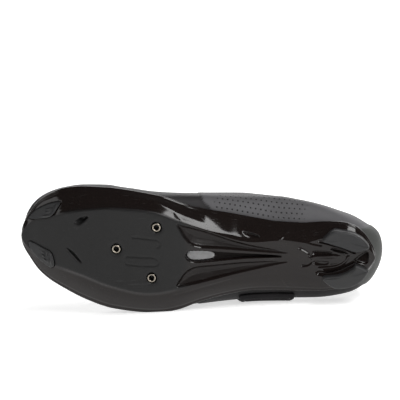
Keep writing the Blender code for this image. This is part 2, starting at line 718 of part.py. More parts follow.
def resting_turn(parts):
    """Turn that lays the shoe on its outer side, on the hull face under its centre of mass."""
    total = 0.0
    moment = Vector()
    hull = bmesh.new()
    for obj in parts.objects:
        size, first = volume_moment(obj)
        total += size
        moment += first
        for vertex in obj.data.vertices:
            hull.verts.new(vertex.co)
    centre = moment / total
    made = bmesh.ops.convex_hull(hull, input=hull.verts)
    hull.normal_update()
    best = None
    for face in (item for item in made["geom"] if isinstance(item, bmesh.types.BMFace)):
        normal = face.normal.copy()
        if normal.dot(face.calc_center_median() - centre) < 0:
            normal = -normal
        if normal.y > -0.8:
            continue
        foot = centre + normal * normal.dot(face.verts[0].co - centre)
        corners = [v.co - foot for v in face.verts]
        turns = [corners[i].cross(corners[(i + 1) % 3]).dot(normal) for i in range(3)]
        if min(turns) >= 0 or max(turns) <= 0:
            best = normal
    hull.free()
    down = best or Vector((0, -1, 0))
    level = down.rotation_difference(Vector((0, 0, -1))).to_matrix()
    toe = level @ Vector((1, 0, 0))
    heading = Matrix.Rotation(np.pi - np.arctan2(toe.y, toe.x), 3, "Z")
    return (heading @ level).to_4x4()


def lay_down(parts):
    turn = resting_turn(parts)
    placed = [turn @ v.co for obj in parts.objects for v in obj.data.vertices]
    low = [min(p[k] for p in placed) for k in range(3)]
    high = [max(p[k] for p in placed) for k in range(3)]
    shift = Vector((-(low[0] + high[0]) / 2, -(low[1] + high[1]) / 2, -low[2]))
    return Matrix.Translation(shift) @ turn


def main():
    for obj in list(bpy.data.objects):
        bpy.data.objects.remove(obj, do_unlink=True)
    parts = bpy.data.collections.new("cycling_shoe")
    cutters = bpy.data.collections.new("cutters")
    bpy.context.scene.collection.children.link(parts)
    bpy.context.scene.collection.children.link(cutters)

    outsole(parts, cutters)
    tread_pads(parts)
    inserts(parts)
    vent_mesh(parts)
    upper(parts)
    insole(parts)
    tongue(parts)
    strap("strap_instep", STRAP_INSTEP, STRAP_LOW["instep"], parts)
    strap("strap_forefoot", STRAP_FOREFOOT, STRAP_LOW["forefoot"], parts)

    place = lay_down(parts)
    for obj in list(parts.objects) + list(cutters.objects):
        obj.data.transform(place)
    for obj in cutters.objects:
        obj.hide_render = True
        obj.display_type = "WIRE"


main()
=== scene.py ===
"""Looks of the road cycling shoe that lies on its outer side.

Lengths are in metres. Each piece is shaped in the shoe's own frame: x from heel to toe, y towards
the inner side of the foot, z up from the ground under the heel pads. PLACE sets it on the solids.
"""

import bmesh
import bpy
import numpy as np
from mathutils import Matrix, Vector


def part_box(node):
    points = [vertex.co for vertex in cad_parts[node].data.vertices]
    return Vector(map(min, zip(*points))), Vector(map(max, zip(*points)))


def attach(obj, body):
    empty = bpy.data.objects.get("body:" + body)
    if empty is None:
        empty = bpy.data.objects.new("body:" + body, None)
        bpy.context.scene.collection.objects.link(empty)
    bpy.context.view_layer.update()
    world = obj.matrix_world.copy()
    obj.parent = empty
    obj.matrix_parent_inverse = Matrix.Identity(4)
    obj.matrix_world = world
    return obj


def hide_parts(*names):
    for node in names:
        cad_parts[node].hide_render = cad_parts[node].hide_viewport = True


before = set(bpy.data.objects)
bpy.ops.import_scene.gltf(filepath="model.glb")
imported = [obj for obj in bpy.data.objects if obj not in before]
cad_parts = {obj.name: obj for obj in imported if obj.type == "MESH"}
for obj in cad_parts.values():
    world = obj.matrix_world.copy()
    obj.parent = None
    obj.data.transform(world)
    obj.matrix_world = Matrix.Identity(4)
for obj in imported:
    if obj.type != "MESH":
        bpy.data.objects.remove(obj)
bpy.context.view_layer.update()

# Sizes of the shoe.
LENGTH = 0.280
BREADTH = 0.098
HEIGHT = 0.080
WALL = 0.0020
FEATHER = 0.0030
EDGE = 0.0022
BOWL_SOFT = 0.0015
SEAT_GAP = 0.0006
INSOLE = 0.0035
INSOLE_GAP = 0.0013
TONGUE = 0.0040
TONGUE_GAP = 0.0007
TONGUE_RISE = 0.024
STRAP = 0.0020
STRAP_GAP = 0.0011
COUNTER = 0.0008
CUFF = 0.0010
INSERT_OUTER = 0.0033
INSERT_BORE = 0.0021
INSERT_DEPTH = 0.0058
MESH_THICK = 0.0009
GAP = 0.0003

# How finely the surfaces are cut up.
SOLE_STATIONS = 430
SOLE_COLUMNS_FINE = (30, 84, 32)
UPPER_STATIONS = 240
LOWER_STEPS = 16
ROOF_STEPS = 44
SKIN_STATIONS = 161
CLOSE_UP = 0.06

# Outsole, in hundredths: x of LENGTH, the y columns of BREADTH, the heights of HEIGHT.
SOLE_COLUMNS = ("x", "lat", "med", "lat_z", "med_z", "tread_lat", "tread_med", "under", "bed")
SOLE_SIZES = (LENGTH, BREADTH, BREADTH, HEIGHT, HEIGHT, BREADTH, BREADTH, HEIGHT, HEIGHT)
SOLE_ROWS = (
    (1.8, 0.0, 0.0, 15.0, 15.0, 0.0, 0.0, 11.2, 18.8),
    (3.2, -10.8, 11.0, 15.0, 15.0, -6.1, 6.1, 9.5, 18.2),
    (5.2, -18.3, 18.4, 15.0, 15.0, -12.2, 12.2, 8.5, 18.1),
    (8.2, -23.7, 24.3, 15.0, 15.4, -16.3, 16.3, 8.1, 18.1),
    (11.8, -26.7, 26.1, 15.0, 16.2, -18.4, 18.4, 8.1, 18.1),
    (16.1, -28.8, 25.3, 15.0, 18.1, -16.3, 14.3, 8.8, 18.1),
    (22.9, -29.7, 23.1, 15.8, 21.2, -12.2, 9.2, 10.0, 18.1),
    (28.6, -29.9, 22.9, 16.2, 23.8, -13.3, 10.7, 10.6, 18.1),
    (34.6, -30.8, 24.8, 16.2, 25.0, -16.3, 8.4, 10.0, 17.5),
    (41.8, -34.9, 28.1, 15.6, 23.8, -20.9, 10.2, 8.1, 15.2),
    (49.3, -41.6, 31.0, 14.4, 22.5, -25.5, 17.9, 4.5, 11.9),
    (55.7, -49.2, 35.3, 13.8, 21.2, -28.8, 24.5, 1.1, 9.2),
    (60.0, -51.9, 39.6, 13.8, 19.4, -32.2, 29.1, 0.0, 8.2),
    (64.3, -52.4, 42.0, 13.8, 18.1, -33.3, 31.8, 0.0, 8.1),
    (73.6, -50.3, 45.5, 13.9, 17.5, -28.6, 32.6, 0.0, 8.3),
    (75.7, -49.0, 45.9, 14.1, 17.5, -27.1, 32.0, 0.5, 8.5),
    (81.4, -43.7, 46.0, 15.2, 18.1, -21.4, 29.6, 3.0, 10.8),
    (87.5, -35.9, 43.9, 17.5, 20.0, -17.3, 25.1, 8.5, 15.6),
    (91.4, -30.1, 38.8, 20.0, 22.5, -15.3, 20.4, 13.8, 20.0),
    (94.6, -23.3, 32.7, 23.1, 25.0, -11.7, 17.3, 18.8, 24.4),
    (97.5, -13.3, 21.9, 26.9, 28.1, -6.1, 13.3, 24.5, 29.5),
    (99.9, 2.4, 2.4, 30.0, 30.0, 2.4, 2.4, 28.5, 32.8),
)

# Facets of the medial flank: the two creases' y in hundredths of BREADTH, and the slopes in percent of
# the face below the lower crease and of the wing's face between the two.
FACET_COLUMNS = ("x", "low_y", "high_y", "low_slope", "wing_slope")
FACET_SIZES = (LENGTH, BREADTH, BREADTH, 1.0, 1.0)
FACET_ROWS = (
    (33.0, 10.6, 13.0, 10, 50),
    (38.0, 12.2, 14.8, 10, 55),
    (41.0, 13.8, 16.4, 8, 60),
    (45.8, 17.0, 18.8, 5, 100),
    (48.3, 19.0, 21.6, 5, 113),
    (50.7, 21.1, 24.6, 6, 115),
    (54.0, 24.3, 28.5, 10, 115),
    (56.0, 28.2, 31.0, 55, 122),
    (57.1, 31.3, 32.4, 74, 135),
    (59.9, 35.0, 35.9, 78, 150),
    (63.5, 38.8, 39.5, 80, 160),
    (66.9, 40.6, 41.2, 82, 170),
    (72.0, 43.0, 43.5, 85, 170),
    (78.0, 44.0, 44.4, 95, 170),
)
FACET_ROUND = 0.0007
FACETED = (0.34, 0.76, 0.06, 0.06)
FACET_START = 0.002
TOP_FACE = 0.001

# Upper, in the same shares: widest line, line along the top, half the opening there, roof.
UPPER_COLUMNS = ("x", "lat", "med", "wide_z", "ridge", "slit", "top_z", "roof")
UPPER_SIZES = (LENGTH, BREADTH, BREADTH, HEIGHT, BREADTH, BREADTH, HEIGHT, 1.0)
UPPER_ROWS = (
    (0.0, 0.0, 0.0, 45.0, 0.0, 0.0, 97.5, 0),
    (1.1, -13.8, 12.6, 42.5, 0.0, 4.7, 97.5, 0),
    (2.9, -22.4, 17.2, 40.0, 0.0, 10.2, 96.2, 0),
    (5.0, -27.9, 21.1, 38.8, 0.0, 14.9, 93.8, 0),
    (7.9, -32.7, 25.9, 37.5, -0.4, 19.2, 88.8, 0),
    (11.8, -36.0, 29.9, 37.5, -0.8, 23.1, 82.5, 0),
    (16.4, -38.6, 34.0, 38.8, -1.2, 25.1, 78.1, 0),
    (22.9, -40.3, 37.5, 41.2, -1.4, 26.5, 76.9, 5),
    (28.6, -41.4, 39.0, 43.8, -1.5, 26.3, 82.5, 30),
    (35.0, -42.9, 39.0, 45.0, -1.5, 23.0, 95.0, 70),
    (39.3, -44.3, 38.8, 44.5, -1.6, 18.9, 103.8, 92),
    (43.6, -45.9, 39.0, 43.2, -1.7, 13.8, 100.6, 100),
    (50.0, -48.2, 39.4, 40.0, -1.8, 11.0, 91.9, 100),
    (57.1, -50.6, 39.8, 37.5, -1.8, 9.2, 83.1, 100),
    (64.3, -51.8, 41.0, 35.0, -1.6, 7.3, 75.6, 100),
    (69.3, -51.6, 43.0, 34.0, -1.3, 4.1, 71.2, 100),
    (72.5, -51.1, 44.1, 33.8, -1.0, 0.0, 69.0, 100),
    (76.8, -49.2, 45.6, 33.8, -0.6, 0.0, 66.0, 100),
    (82.9, -43.5, 45.1, 34.4, 0.4, 0.0, 63.4, 100),
    (88.6, -35.7, 42.1, 35.6, 1.3, 0.0, 61.2, 100),
    (92.9, -28.6, 37.3, 37.5, 1.9, 0.0, 59.4, 100),
    (96.1, -21.2, 30.9, 39.4, 2.3, 0.0, 58.2, 100),
    (98.6, -10.7, 21.1, 40.9, 2.6, 0.0, 57.2, 100),
    (100.0, 2.7, 2.7, 41.4, 2.7, 0.0, 56.6, 100),
)
THROAT_END = 0.725
TOP_BACK = 0.033
TOP_FRONT = 0.936
LOWER_SHARE = 0.30
LOWER_BEND = 0.30
ROOF_BEND = 0.62
COLLAR_BEND = 0.40
BRIDGE_CROWN = 0.12
COUNTER_END = 0.058
COUNTER_LEAN = 0.05
COUNTER_TOP = 0.62

# Outlines on the outsole, in hundredths of LENGTH and of BREADTH.
HEEL_PAD_MEDIAL = (
    (13.5, 22.4), (11.7, 22.2), (8.2, 20.8), (5.6, 17.2), (3.6, 11.2), (3.4, 8.6), (7.0, 4.9),
    (10.6, 8.3), (14.1, 11.2), (16.9, 13.2),
)
HEEL_PAD_LATERAL = (
    (7.1, -4.1), (3.3, -8.7), (3.5, -10.9), (5.0, -17.6), (7.3, -22.0), (10.0, -24.4),
    (12.6, -24.6), (15.4, -19.4), (16.0, -15.4), (12.6, -14.6), (10.2, -12.7), (8.4, -9.7), (7.3, -6.8),
)
TOE_PAD_MEDIAL = (
    (97.7, 17.3), (97.8, 19.0), (95.6, 25.6), (92.2, 31.4), (88.5, 34.6), (88.6, 32.8),
    (90.9, 21.9), (94.4, 19.2),
)
TOE_PAD_LATERAL = (
    (98.0, 0.0), (95.5, -1.7), (93.0, -4.6), (91.6, -5.7), (90.6, -8.1), (89.8, -17.2),
    (91.1, -20.0), (92.8, -17.2), (94.9, -13.4), (96.5, -9.2), (97.5, -4.8),
)
TOE_BARS_MEDIAL = (
    ((89.6, 31.7), (90.4, 26.6), (91.2, 21.7)), ((92.4, 27.4), (90.9, 28.3)),
    ((92.5, 25.1), (91.2, 25.9)), ((93.2, 21.9), (91.8, 22.7)),
)
TOE_BARS_LATERAL = (
    ((91.5, -7.6), (91.0, -12.3), (90.6, -17.5)), ((92.5, -6.0), (92.2, -10.4), (91.8, -14.3)),
    ((93.4, -7.3), (92.5, -8.5)), ((93.4, -10.1), (92.5, -11.3)), ((93.0, -12.9), (92.2, -14.2)),
)
RECESS_MEDIAL = (
    (56.4, 22.4), (52.4, 4.4), (43.5, 3.4), (34.4, 1.7), (24.5, 0.8), (28.7, 3.6),
    (34.4, 5.4), (40.2, 8.9), (44.8, 13.2), (49.9, 17.8), (55.0, 21.4),
)
RECESS_LATERAL = (
    (56.4, -28.9), (52.7, -12.4), (44.5, -10.2), (37.7, -7.7), (23.6, -4.6), (30.8, -9.9),
    (37.6, -14.9), (44.4, -20.3), (54.0, -27.7),
)
SLOT = (
    (53.8, -2.5), (52.2, 1.2), (40.0, -0.7), (27.5, -1.3), (27.4, -2.4), (36.6, -3.9),
    (44.6, -6.4), (52.3, -8.4),
)
SLOT_WINDOW = ((53.5, -2.8), (52.2, 0.9), (45.6, -0.5), (45.6, -6.0), (52.2, -7.8))
TOE_VENT_MEDIAL = (
    (86.0, 16.9), (84.8, 17.8), (83.9, 21.2), (82.3, 24.4), (80.3, 25.7), (81.3, 21.9),
    (82.6, 18.3), (83.9, 17.0),
)
TOE_VENT_LATERAL = (
    (86.9, -1.1), (85.7, -2.1), (84.2, -5.0), (82.5, -10.6), (82.0, -12.5), (83.2, -11.2), (84.8, -7.0),
)
CLEAT_HOLES = {"front": (72.5, 0.7), "medial": (61.6, 19.3), "lateral": (62.6, -21.5)}
ALIGNMENT_MARKS = (
    ((68.2, 10.7), (62.4, 9.5), (61.4, 9.4), (60.6, 7.7), (60.6, 4.5), (61.2, 3.2)),
    (
        (69.8, -4.9), (64.7, -4.9), (62.6, -4.8), (61.3, -6.2), (60.6, -8.4), (61.1, -11.0),
        (62.1, -11.8), (66.9, -11.9), (69.2, -11.3), (69.8, -10.7), (70.2, -7.8), (69.8, -4.9),
    ),
)
HEEL_HOLLOW = ((7.6, -2.7), (3.6, -5.9), (3.5, 4.5), (4.5, 5.1), (6.7, 0.1))
HEEL_NOSE = (
    (20.6, -0.9), (15.2, 1.8), (12.0, 2.2), (9.6, -0.6), (10.9, -4.4), (13.8, -6.6), (17.6, -5.4),
)
NOSE_POCKETS = (
    ((19.0, 4.1), (13.8, 4.2), (13.2, 1.6), (16.2, 0.2), (18.9, 0.4)),
    ((19.0, -4.0), (14.0, -3.9), (14.2, -6.4), (18.3, -7.7)),
    ((13.8, 7.5), (10.0, 5.4), (8.9, 2.8), (10.5, 3.4), (13.8, 5.1)),
)
NOSE_SLITS = (
    ((22.6, 5.5), (21.5, 4.8), (19.3, 1.1), (19.4, -0.7)),
    ((21.6, -8.4), (20.5, -8.1), (19.1, -5.5), (19.3, -3.2)),
    ((17.2, 12.0), (14.1, 10.4), (10.6, 7.5), (7.4, 4.2)),
)
CRESCENT = ((16.8, -9.9), (13.6, -8.7), (11.3, -6.6), (9.7, -3.0), (9.0, 0.6))
CRESCENT_GROOVE = ((17.0, -13.7), (13.9, -13.9), (11.2, -11.4), (8.9, -7.7), (7.3, -5.0))
PAD_TICKS = (
    ((11.8, 3.6), (11.4, 1.2)), ((11.2, 3.4), (10.7, 1.0)), ((10.5, 2.3), (10.1, 0.1)),
)
HEEL_LINES = (
    ((27.9, 11.9), (24.6, 11.1), (21.3, 10.2), (19.0, 8.3), (16.6, 7.4)),
    ((26.0, 17.3), (22.5, 18.5), (19.2, 20.1), (15.7, 21.7)),
)
SLANT_MEDIAL = ((24.1, 23.5), (27.7, 12.0))
SLANT_LATERAL = ((27.5, -17.7), (25.2, -26.5))
FLANK_LINE = ((56.4, -36.2), (50.6, -31.0), (41.0, -22.3))
WING_NOTCH = ((38.4, 16.8), (33.9, 14.2), (33.4, 11.4), (36.9, 13.0))

# Straps and tongue, as in the solids.
STRAP_INSTEP = ((30.6, 7.7), (47.0, 4.6), (36.0, 3.6))
STRAP_FOREFOOT = ((60.0, 3.4), (61.5, 4.0), (60.5, 3.4))
STRAP_ENDS = {"instep": (-0.93, 0.38), "forefoot": (-0.72, 0.46)}
TONGUE_MARKS = ((76.5, 15.0), (68.0, 18.0), (59.0, 18.5), (50.0, 17.5), (43.5, 14.0), (41.5, 13.6))


def columns_of(names, sizes, rows):
    """Columns of a table in metres, with the station s of each row: 0 at the heel, 1 at the toe."""
    values = np.array(rows, float) / 100
    table = {name: values[:, i] * size for i, (name, size) in enumerate(zip(names, sizes))}
    span = table["x"][-1] - table["x"][0]
    table["s"] = np.arccos(1 - 2 * (table["x"] - table["x"][0]) / span) / np.pi
    return table


SOLE = columns_of(SOLE_COLUMNS, SOLE_SIZES, SOLE_ROWS)
FACETS = columns_of(FACET_COLUMNS, FACET_SIZES, FACET_ROWS)
UPPER = columns_of(UPPER_COLUMNS, UPPER_SIZES, UPPER_ROWS)


def slopes(knots, values):
    """Slopes that keep a level stretch level and let no curve swing past its rows."""
    gap = np.diff(knots)
    rate = np.diff(values) / gap
    before = rate[:-1]
    after = rate[1:]
    same = before * after > 0
    wide = 2 * gap[1:] + gap[:-1]
    near = gap[1:] + 2 * gap[:-1]
    share = wide / np.where(same, before, 1) + near / np.where(same, after, 1)
    middle = np.where(same, (wide + near) / np.where(same, share, 1), 0)
    return np.concatenate([rate[:1], middle, rate[-1:]])


def at(table, name, s):
    """One column of a table at stations s, as a smooth curve through its rows."""
    knots = table["s"]
    values = table[name]
    slope = slopes(knots, values)
    s = np.clip(s, 0, 1)
    i = np.clip(np.searchsorted(knots, s, side="right") - 1, 0, len(knots) - 2)
    step = knots[i + 1] - knots[i]
    t = (s - knots[i]) / step
    return (
        values[i] * (1 + 2 * t) * (1 - t) ** 2
        + slope[i] * step * t * (1 - t) ** 2
        + values[i + 1] * t * t * (3 - 2 * t)
        + slope[i + 1] * step * t * t * (t - 1)
    )


EASED_STATIONS = np.linspace(0, 1, 1601)
EASING = 0.011


def eased(table, name):
    """One column as a dense curve without the small kinks at its rows. Its two ends stay in place."""
    value = at(table, name, EASED_STATIONS)
    step = EASED_STATIONS[1]
    reach_of = int(4 * EASING / step)
    before = 2 * value[0] - value[reach_of:0:-1]
    after = 2 * value[-1] - value[-2 : -reach_of - 2 : -1]
    gap = np.arange(-reach_of, reach_of + 1) * step / EASING
    weight = np.exp(-gap * gap / 2)
    return np.convolve(np.concatenate([before, value, after]), weight / weight.sum(), "valid")


EASED = {name: eased(SOLE, name) for name in ("under", "bed", "tread_lat", "tread_med", "lat_z", "med_z")}


def smooth_at(name, s):
    """One column of the outsole's table from its eased curve."""
    return np.interp(s, EASED_STATIONS, EASED[name])


def travel(s):
    """Share of the way along the shoe at station s."""
    return (1 - np.cos(np.pi * s)) / 2


def station(table, x):
    share = (x - table["x"][0]) / (table["x"][-1] - table["x"][0])
    return np.arccos(1 - 2 * np.clip(share, 0, 1)) / np.pi


def along(table, s):
    return table["x"][0] + (table["x"][-1] - table["x"][0]) * travel(s)


def even_stations(count):
    """Stations that lie evenly along the shoe, and close up towards its two blunt ends."""
    u = np.linspace(0, 1, count)
    low = u * u / (2 * CLOSE_UP)
    high = 1 - CLOSE_UP - (1 - u) ** 2 / (2 * CLOSE_UP)
    share = np.where(u < CLOSE_UP, low, np.where(u > 1 - CLOSE_UP, high, u - CLOSE_UP / 2))
    share = share / (1 - CLOSE_UP)
    return np.arccos(1 - 2 * np.clip(share, 0, 1)) / np.pi


def unit(vectors):
    return vectors / np.maximum(np.linalg.norm(vectors, axis=-1, keepdims=True), 1e-12)


def soft(value):
    """Smooth rise from 0 to 1."""
    value = np.clip(value, 0, 1)
    return value * value * (3 - 2 * value)


def between(value, low, high, rise, fall):
    """1 from low to high, with soft ends of those widths inside them."""
    return soft((value - low) / rise) * soft((high - value) / fall)


def bell(gap, width):
    return np.exp(-((gap / width) ** 2))


def arc_lengths(lines):
    """Length along each row of points, from its first point."""
    steps = np.linalg.norm(np.diff(lines, axis=1), axis=-1)
    return np.concatenate([np.zeros((len(lines), 1)), np.cumsum(steps, axis=1)], axis=1)


def there_and_back(grid):
    """Columns of a grid, followed by the same ones from last to first."""
    return np.concatenate([grid, grid[:, ::-1]], axis=1)


def ramp(value, radius):
    """0 below 0 and value above it, with the corner rounded over about that radius."""
    return (value + np.sqrt(value * value + radius * radius)) / 2


def faceted(x, y, flat, edge, rim_y, rim_z):
    """Height of the medial flank as three faces with two soft creases, ending at the rim."""
    q = station(FACETS, x)
    low_slope = at(FACETS, "low_slope", q)
    wing_slope = at(FACETS, "wing_slope", q)
    low_y = np.maximum(at(FACETS, "low_y", q), edge)
    high_y = np.minimum(at(FACETS, "high_y", q), rim_y - TOP_FACE)

    def run(end):
        return [ramp(end - start, FACET_ROUND) for start in (edge, low_y, high_y)]

    whole = run(rim_y)
    rise = rim_z - flat - low_slope * whole[0] - (wing_slope - low_slope) * whole[1]
    steeper = rise / np.maximum(whole[2], 1e-4)
    here = run(y)
    return flat + low_slope * here[0] + (wing_slope - low_slope) * here[1] + steeper * here[2]


def under(x, y):
    """Height of the outsole's lower face, without its details."""
    s = station(SOLE, x)
    flat = smooth_at("under", s)
    height = np.array(flat)
    for side in ("lat", "med"):
        edge = smooth_at("tread_" + side, s)
        rim_y = at(SOLE, side, s)
        reach_y = np.where(np.abs(rim_y - edge) < 1e-6, 1e-6, rim_y - edge)
        w = np.clip((y - edge) / reach_y, 0, 1)
        height = height + (smooth_at(side + "_z", s) - flat) * w**1.3
    blend = between(x / LENGTH, *FACETED) * soft((y - edge) / FACET_START + 1)
    creased = faceted(x, y, flat, edge, rim_y, smooth_at("med_z", s))
    return height + (creased - height) * blend


def bowl(x, y):
    """Height of the outsole's upper face: the foot bed, with the rim standing round it."""
    bed = smooth_at("bed", station(SOLE, x))
    rising = under(x, y) + EDGE
    return (bed + rising + np.sqrt((bed - rising) ** 2 + BOWL_SOFT**2)) / 2


def heading_of_rim(s, side):
    def line(q):
        return np.stack([along(SOLE, q), at(SOLE, side, q)], axis=-1)

    small = 1e-3
    heading = unit(line(np.minimum(s + small, 1)) - line(np.maximum(s - small, 0)))
    heading = np.where(s[:, None] < small, (0.0, -1.0 if side == "lat" else 1.0), heading)
    heading = np.where(s[:, None] > 1 - small, (0.0, 1.0 if side == "lat" else -1.0), heading)
    inward = np.stack([-heading[:, 1], heading[:, 0]], axis=-1)
    return line(s), -inward if side == "med" else inward


def rim(s, side, inset):
    """Plan position of the outsole's rim, moved inwards by inset."""
    line, inward = heading_of_rim(s, side)
    return line + inward * inset


def skin(s, t, side):
    """Outer face of the upper: s along the shoe, t from the outsole (0) to the top line (1)."""
    edge = rim(s, side, 0.0)
    foot = np.zeros((len(s), 3))
    foot[:, :2] = rim(s, side, FEATHER)
    foot[:, 2] = bowl(edge[:, 0], edge[:, 1]) + SEAT_GAP
    wide = np.stack([along(UPPER, s), at(UPPER, side, s), at(UPPER, "wide_z", s)], axis=-1)
    half = np.where(s < THROAT_STATION, np.maximum(at(UPPER, "slit", s), 0), 0)
    half = half * (-1 if side == "lat" else 1)
    top_x = LENGTH * (TOP_BACK + (TOP_FRONT - TOP_BACK) * travel(s))
    top = np.stack([top_x, at(UPPER, "ridge", s) + half, at(UPPER, "top_z", s)], axis=-1)
    rise = (top - wide)[:, 2]
    roof = np.clip(at(UPPER, "roof", s), 0, 1)
    low_turn = wide.copy()
    low_turn[:, 2] = foot[:, 2] + LOWER_BEND * (wide - foot)[:, 2]
    first = wide.copy()
    first[:, 2] += ROOF_BEND * rise
    second = top.copy()
    second[:, :2] += (roof * ROOF_BEND)[:, None] * (wide - top)[:, :2]
    second[:, 2] -= (1 - roof) * COLLAR_BEND * rise
    low = np.clip(t / LOWER_SHARE, 0, 1)[None, :, None]
    high = np.clip((t - LOWER_SHARE) / (1 - LOWER_SHARE), 0, 1)[None, :, None]
    lower = foot[:, None] * (1 - low) ** 2 + low_turn[:, None] * 2 * low * (1 - low)
    lower = lower + wide[:, None] * low**2
    upper = wide[:, None] * (1 - high) ** 3 + first[:, None] * 3 * high * (1 - high) ** 2
    upper = upper + second[:, None] * 3 * high**2 * (1 - high) + top[:, None] * high**3
    return np.where((t < LOWER_SHARE)[None, :, None], lower, upper)


THROAT_STATION = station(UPPER, LENGTH * THROAT_END)


def skin_lines():
    """The whole skin by stations, bridged over the throat, with the arc length across it."""
    s = np.linspace(0.02, 0.98, SKIN_STATIONS)
    t = np.linspace(0.02, 1, 50)
    lateral = skin(s, t, "lat")
    medial = skin(s, t, "med")[:, ::-1]
    v = np.linspace(-1, 1, 11)[None, 1:-1, None]
    left = lateral[:, -1:]
    right = medial[:, :1]
    bridge = left * (1 - v) / 2 + right * (1 + v) / 2
    crown = BRIDGE_CROWN * np.linalg.norm(right - left, axis=-1, keepdims=True)
    bridge[..., 2:] += crown * (1 - v**2)
    lines = np.concatenate([lateral, bridge, medial], axis=1)
    arc = arc_lengths(lines)
    middle = lateral.shape[1] + bridge.shape[1] // 2
    return s, lines, arc - arc[:, middle : middle + 1]


SKIN_S, SKIN_LINES, SKIN_ARC = skin_lines()


def across(x, d):
    """Point of the bridged skin at x along the shoe and arc length d from its middle line."""
    place = np.interp(station(UPPER, np.array([x])), SKIN_S, np.arange(len(SKIN_S)))[0]
    low = int(min(place, len(SKIN_S) - 2))
    ends = [
        np.stack([np.interp(d, SKIN_ARC[k], SKIN_LINES[k][:, axis]) for axis in range(3)], axis=-1)
        for k in (low, low + 1)
    ]
    return ends[0] * (low + 1 - place) + ends[1] * (place - low)


def reach(x, share):
    """Arc length at a share of the way from the middle line (0) down to the outsole (-1 or 1)."""
    k = int(np.argmin(np.abs(SKIN_S - station(UPPER, np.array([x]))[0])))
    return -share * SKIN_ARC[k][0] if share < 0 else share * SKIN_ARC[k][-1]


def normals(grid, closed=False):
    if closed:
        down = np.roll(grid, -1, axis=0) - np.roll(grid, 1, axis=0)
    else:
        down = np.gradient(grid, axis=0)
    return unit(np.cross(down, np.gradient(grid, axis=1)))


def shares(outline):
    """Points in metres from hundredths of LENGTH and of BREADTH."""
    return np.array(outline, float) / 100 * (LENGTH, BREADTH)


def place_of_shoe():
    """Turn and shift from the shoe's own frame to that of the solids, by the three cleat sleeves."""
    own = [Vector((*shares(hole), INSERT_DEPTH / 2)) for hole in CLEAT_HOLES.values()]
    lies = []
    for key in CLEAT_HOLES:
        low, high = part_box("cleat_insert_" + key)
        lies.append((Vector(low) + Vector(high)) / 2)

    def axes(points):
        first = (points[1] - points[0]).normalized()
        upright = first.cross(points[2] - points[0]).normalized()
        return Matrix((first, upright, first.cross(upright))).transposed()

    turn = axes(lies) @ axes(own).transposed()
    return Matrix.Translation(lies[0] - turn @ own[0]) @ turn.to_4x4()


PLACE = place_of_shoe()


def smoothed(points, closed=True, rounds=2):
    """Polygon or line with its corners cut back, each round a little more."""
    points = np.array(points, float)
    for _ in range(rounds):
        following = np.roll(points, -1, axis=0)
        pairs = np.stack([points * 0.78 + following * 0.22, points * 0.22 + following * 0.78], axis=1)
        cut = pairs.reshape(-1, 2)
        if not closed:
            cut = np.concatenate([points[:1], cut[1:-3], points[-1:]])
        points = cut
    return points


def distance_to_line(x, y, points, closed=False):
    """Distance in plan from each x, y to a line of points."""
    best = np.full(x.shape, 1e9)
    ends = np.roll(points, -1, axis=0)
    last = len(points) if closed else len(points) - 1
    for a, b in zip(points[:last], ends[:last]):
        edge = b - a
        length = max(float(edge @ edge), 1e-12)
        share = np.clip(((x - a[0]) * edge[0] + (y - a[1]) * edge[1]) / length, 0, 1)
        gap = np.hypot(x - a[0] - share * edge[0], y - a[1] - share * edge[1])
        best = np.minimum(best, gap)
    return best


def depth_inside(x, y, outline):
    """Distance from the outline, positive inside it and negative outside."""
    points = smoothed(shares(outline))
    inside = np.zeros(x.shape, bool)
    for a, b in zip(points, np.roll(points, -1, axis=0)):
        crosses = (a[1] > y) != (b[1] > y)
        rise = b[1] - a[1]
        rise = rise if abs(rise) > 1e-12 else 1e-12
        inside ^= crosses & (x < (b[0] - a[0]) * (y - a[1]) / rise + a[0])
    gap = distance_to_line(x, y, points, closed=True)
    return np.where(inside, gap, -gap)


def ridge(x, y, line, half_width, height, rounds=2):
    """Rounded rib of that height along a line of the sole. A negative height makes a groove."""
    return -height * bell(distance_to_line(x, y, smoothed(shares(line), False, rounds)), half_width)


def flank(x, y):
    """How far up a flank of the sole each x, y lies (0 on the tread, 1 at the rim), and its side."""
    s = station(SOLE, x)
    lateral = smooth_at("tread_lat", s)
    medial = smooth_at("tread_med", s)
    out_lateral = np.maximum(lateral - y, 0) / np.maximum(lateral - at(SOLE, "lat", s), 1e-6)
    out_medial = np.maximum(y - medial, 0) / np.maximum(at(SOLE, "med", s) - medial, 1e-6)
    return np.clip(out_lateral, 0, 1), np.clip(out_medial, 0, 1), lateral - y, y - medial


# Where the sole's forms begin and end along it, and how far each end fades: shares of LENGTH.
FRONT_BEVEL = (0.53, 0.90, 0.05, 0.05)
ARCHED = (0.14, 0.62, 0.12, 0.10)

BEVEL_WIDTH = 0.0042
BEVEL_RISE = 0.0016
REAR_BEVEL = 0.35
WING_CROWN = 0.0016
LATERAL_CROWN = 0.0006
RIM_GROOVE = 0.0005
RECESS_DEPTH = 0.0048
RECESS_WALL = 0.0022
RECESS_HOLLOW = 0.38
HOLLOW_REACH = 0.007
SLOT_DEPTH = 0.0085
SLOT_WALL = 0.0012
VENT_DEPTH = 0.0026
VENT_WALL = 0.0014
VENT_TURN = 23.0
PAD_SEAT = 0.0024
PAD_WALL = 0.0008
POCKET_DEPTH = 0.0013
POCKET_WALL = 0.0010
POCKET_SLOPE = 0.38
HOLLOW_DEPTH = 0.0030
HOLLOW_WALL = 0.0012
HOLLOW_SLOPE = 0.30
NOSE_RISE = 0.0006
NOSE_WALL = 0.0016
NOTCH_DEPTH = 0.0022
NOTCH_WALL = 0.0012
WALL_OUTSIDE = 0.35
CROWN_REACH = 0.006
WELL_WALL = 0.0006
WELL_GAP = 0.0005
WELL_RING = (0.0052, 0.0005, 0.0003)

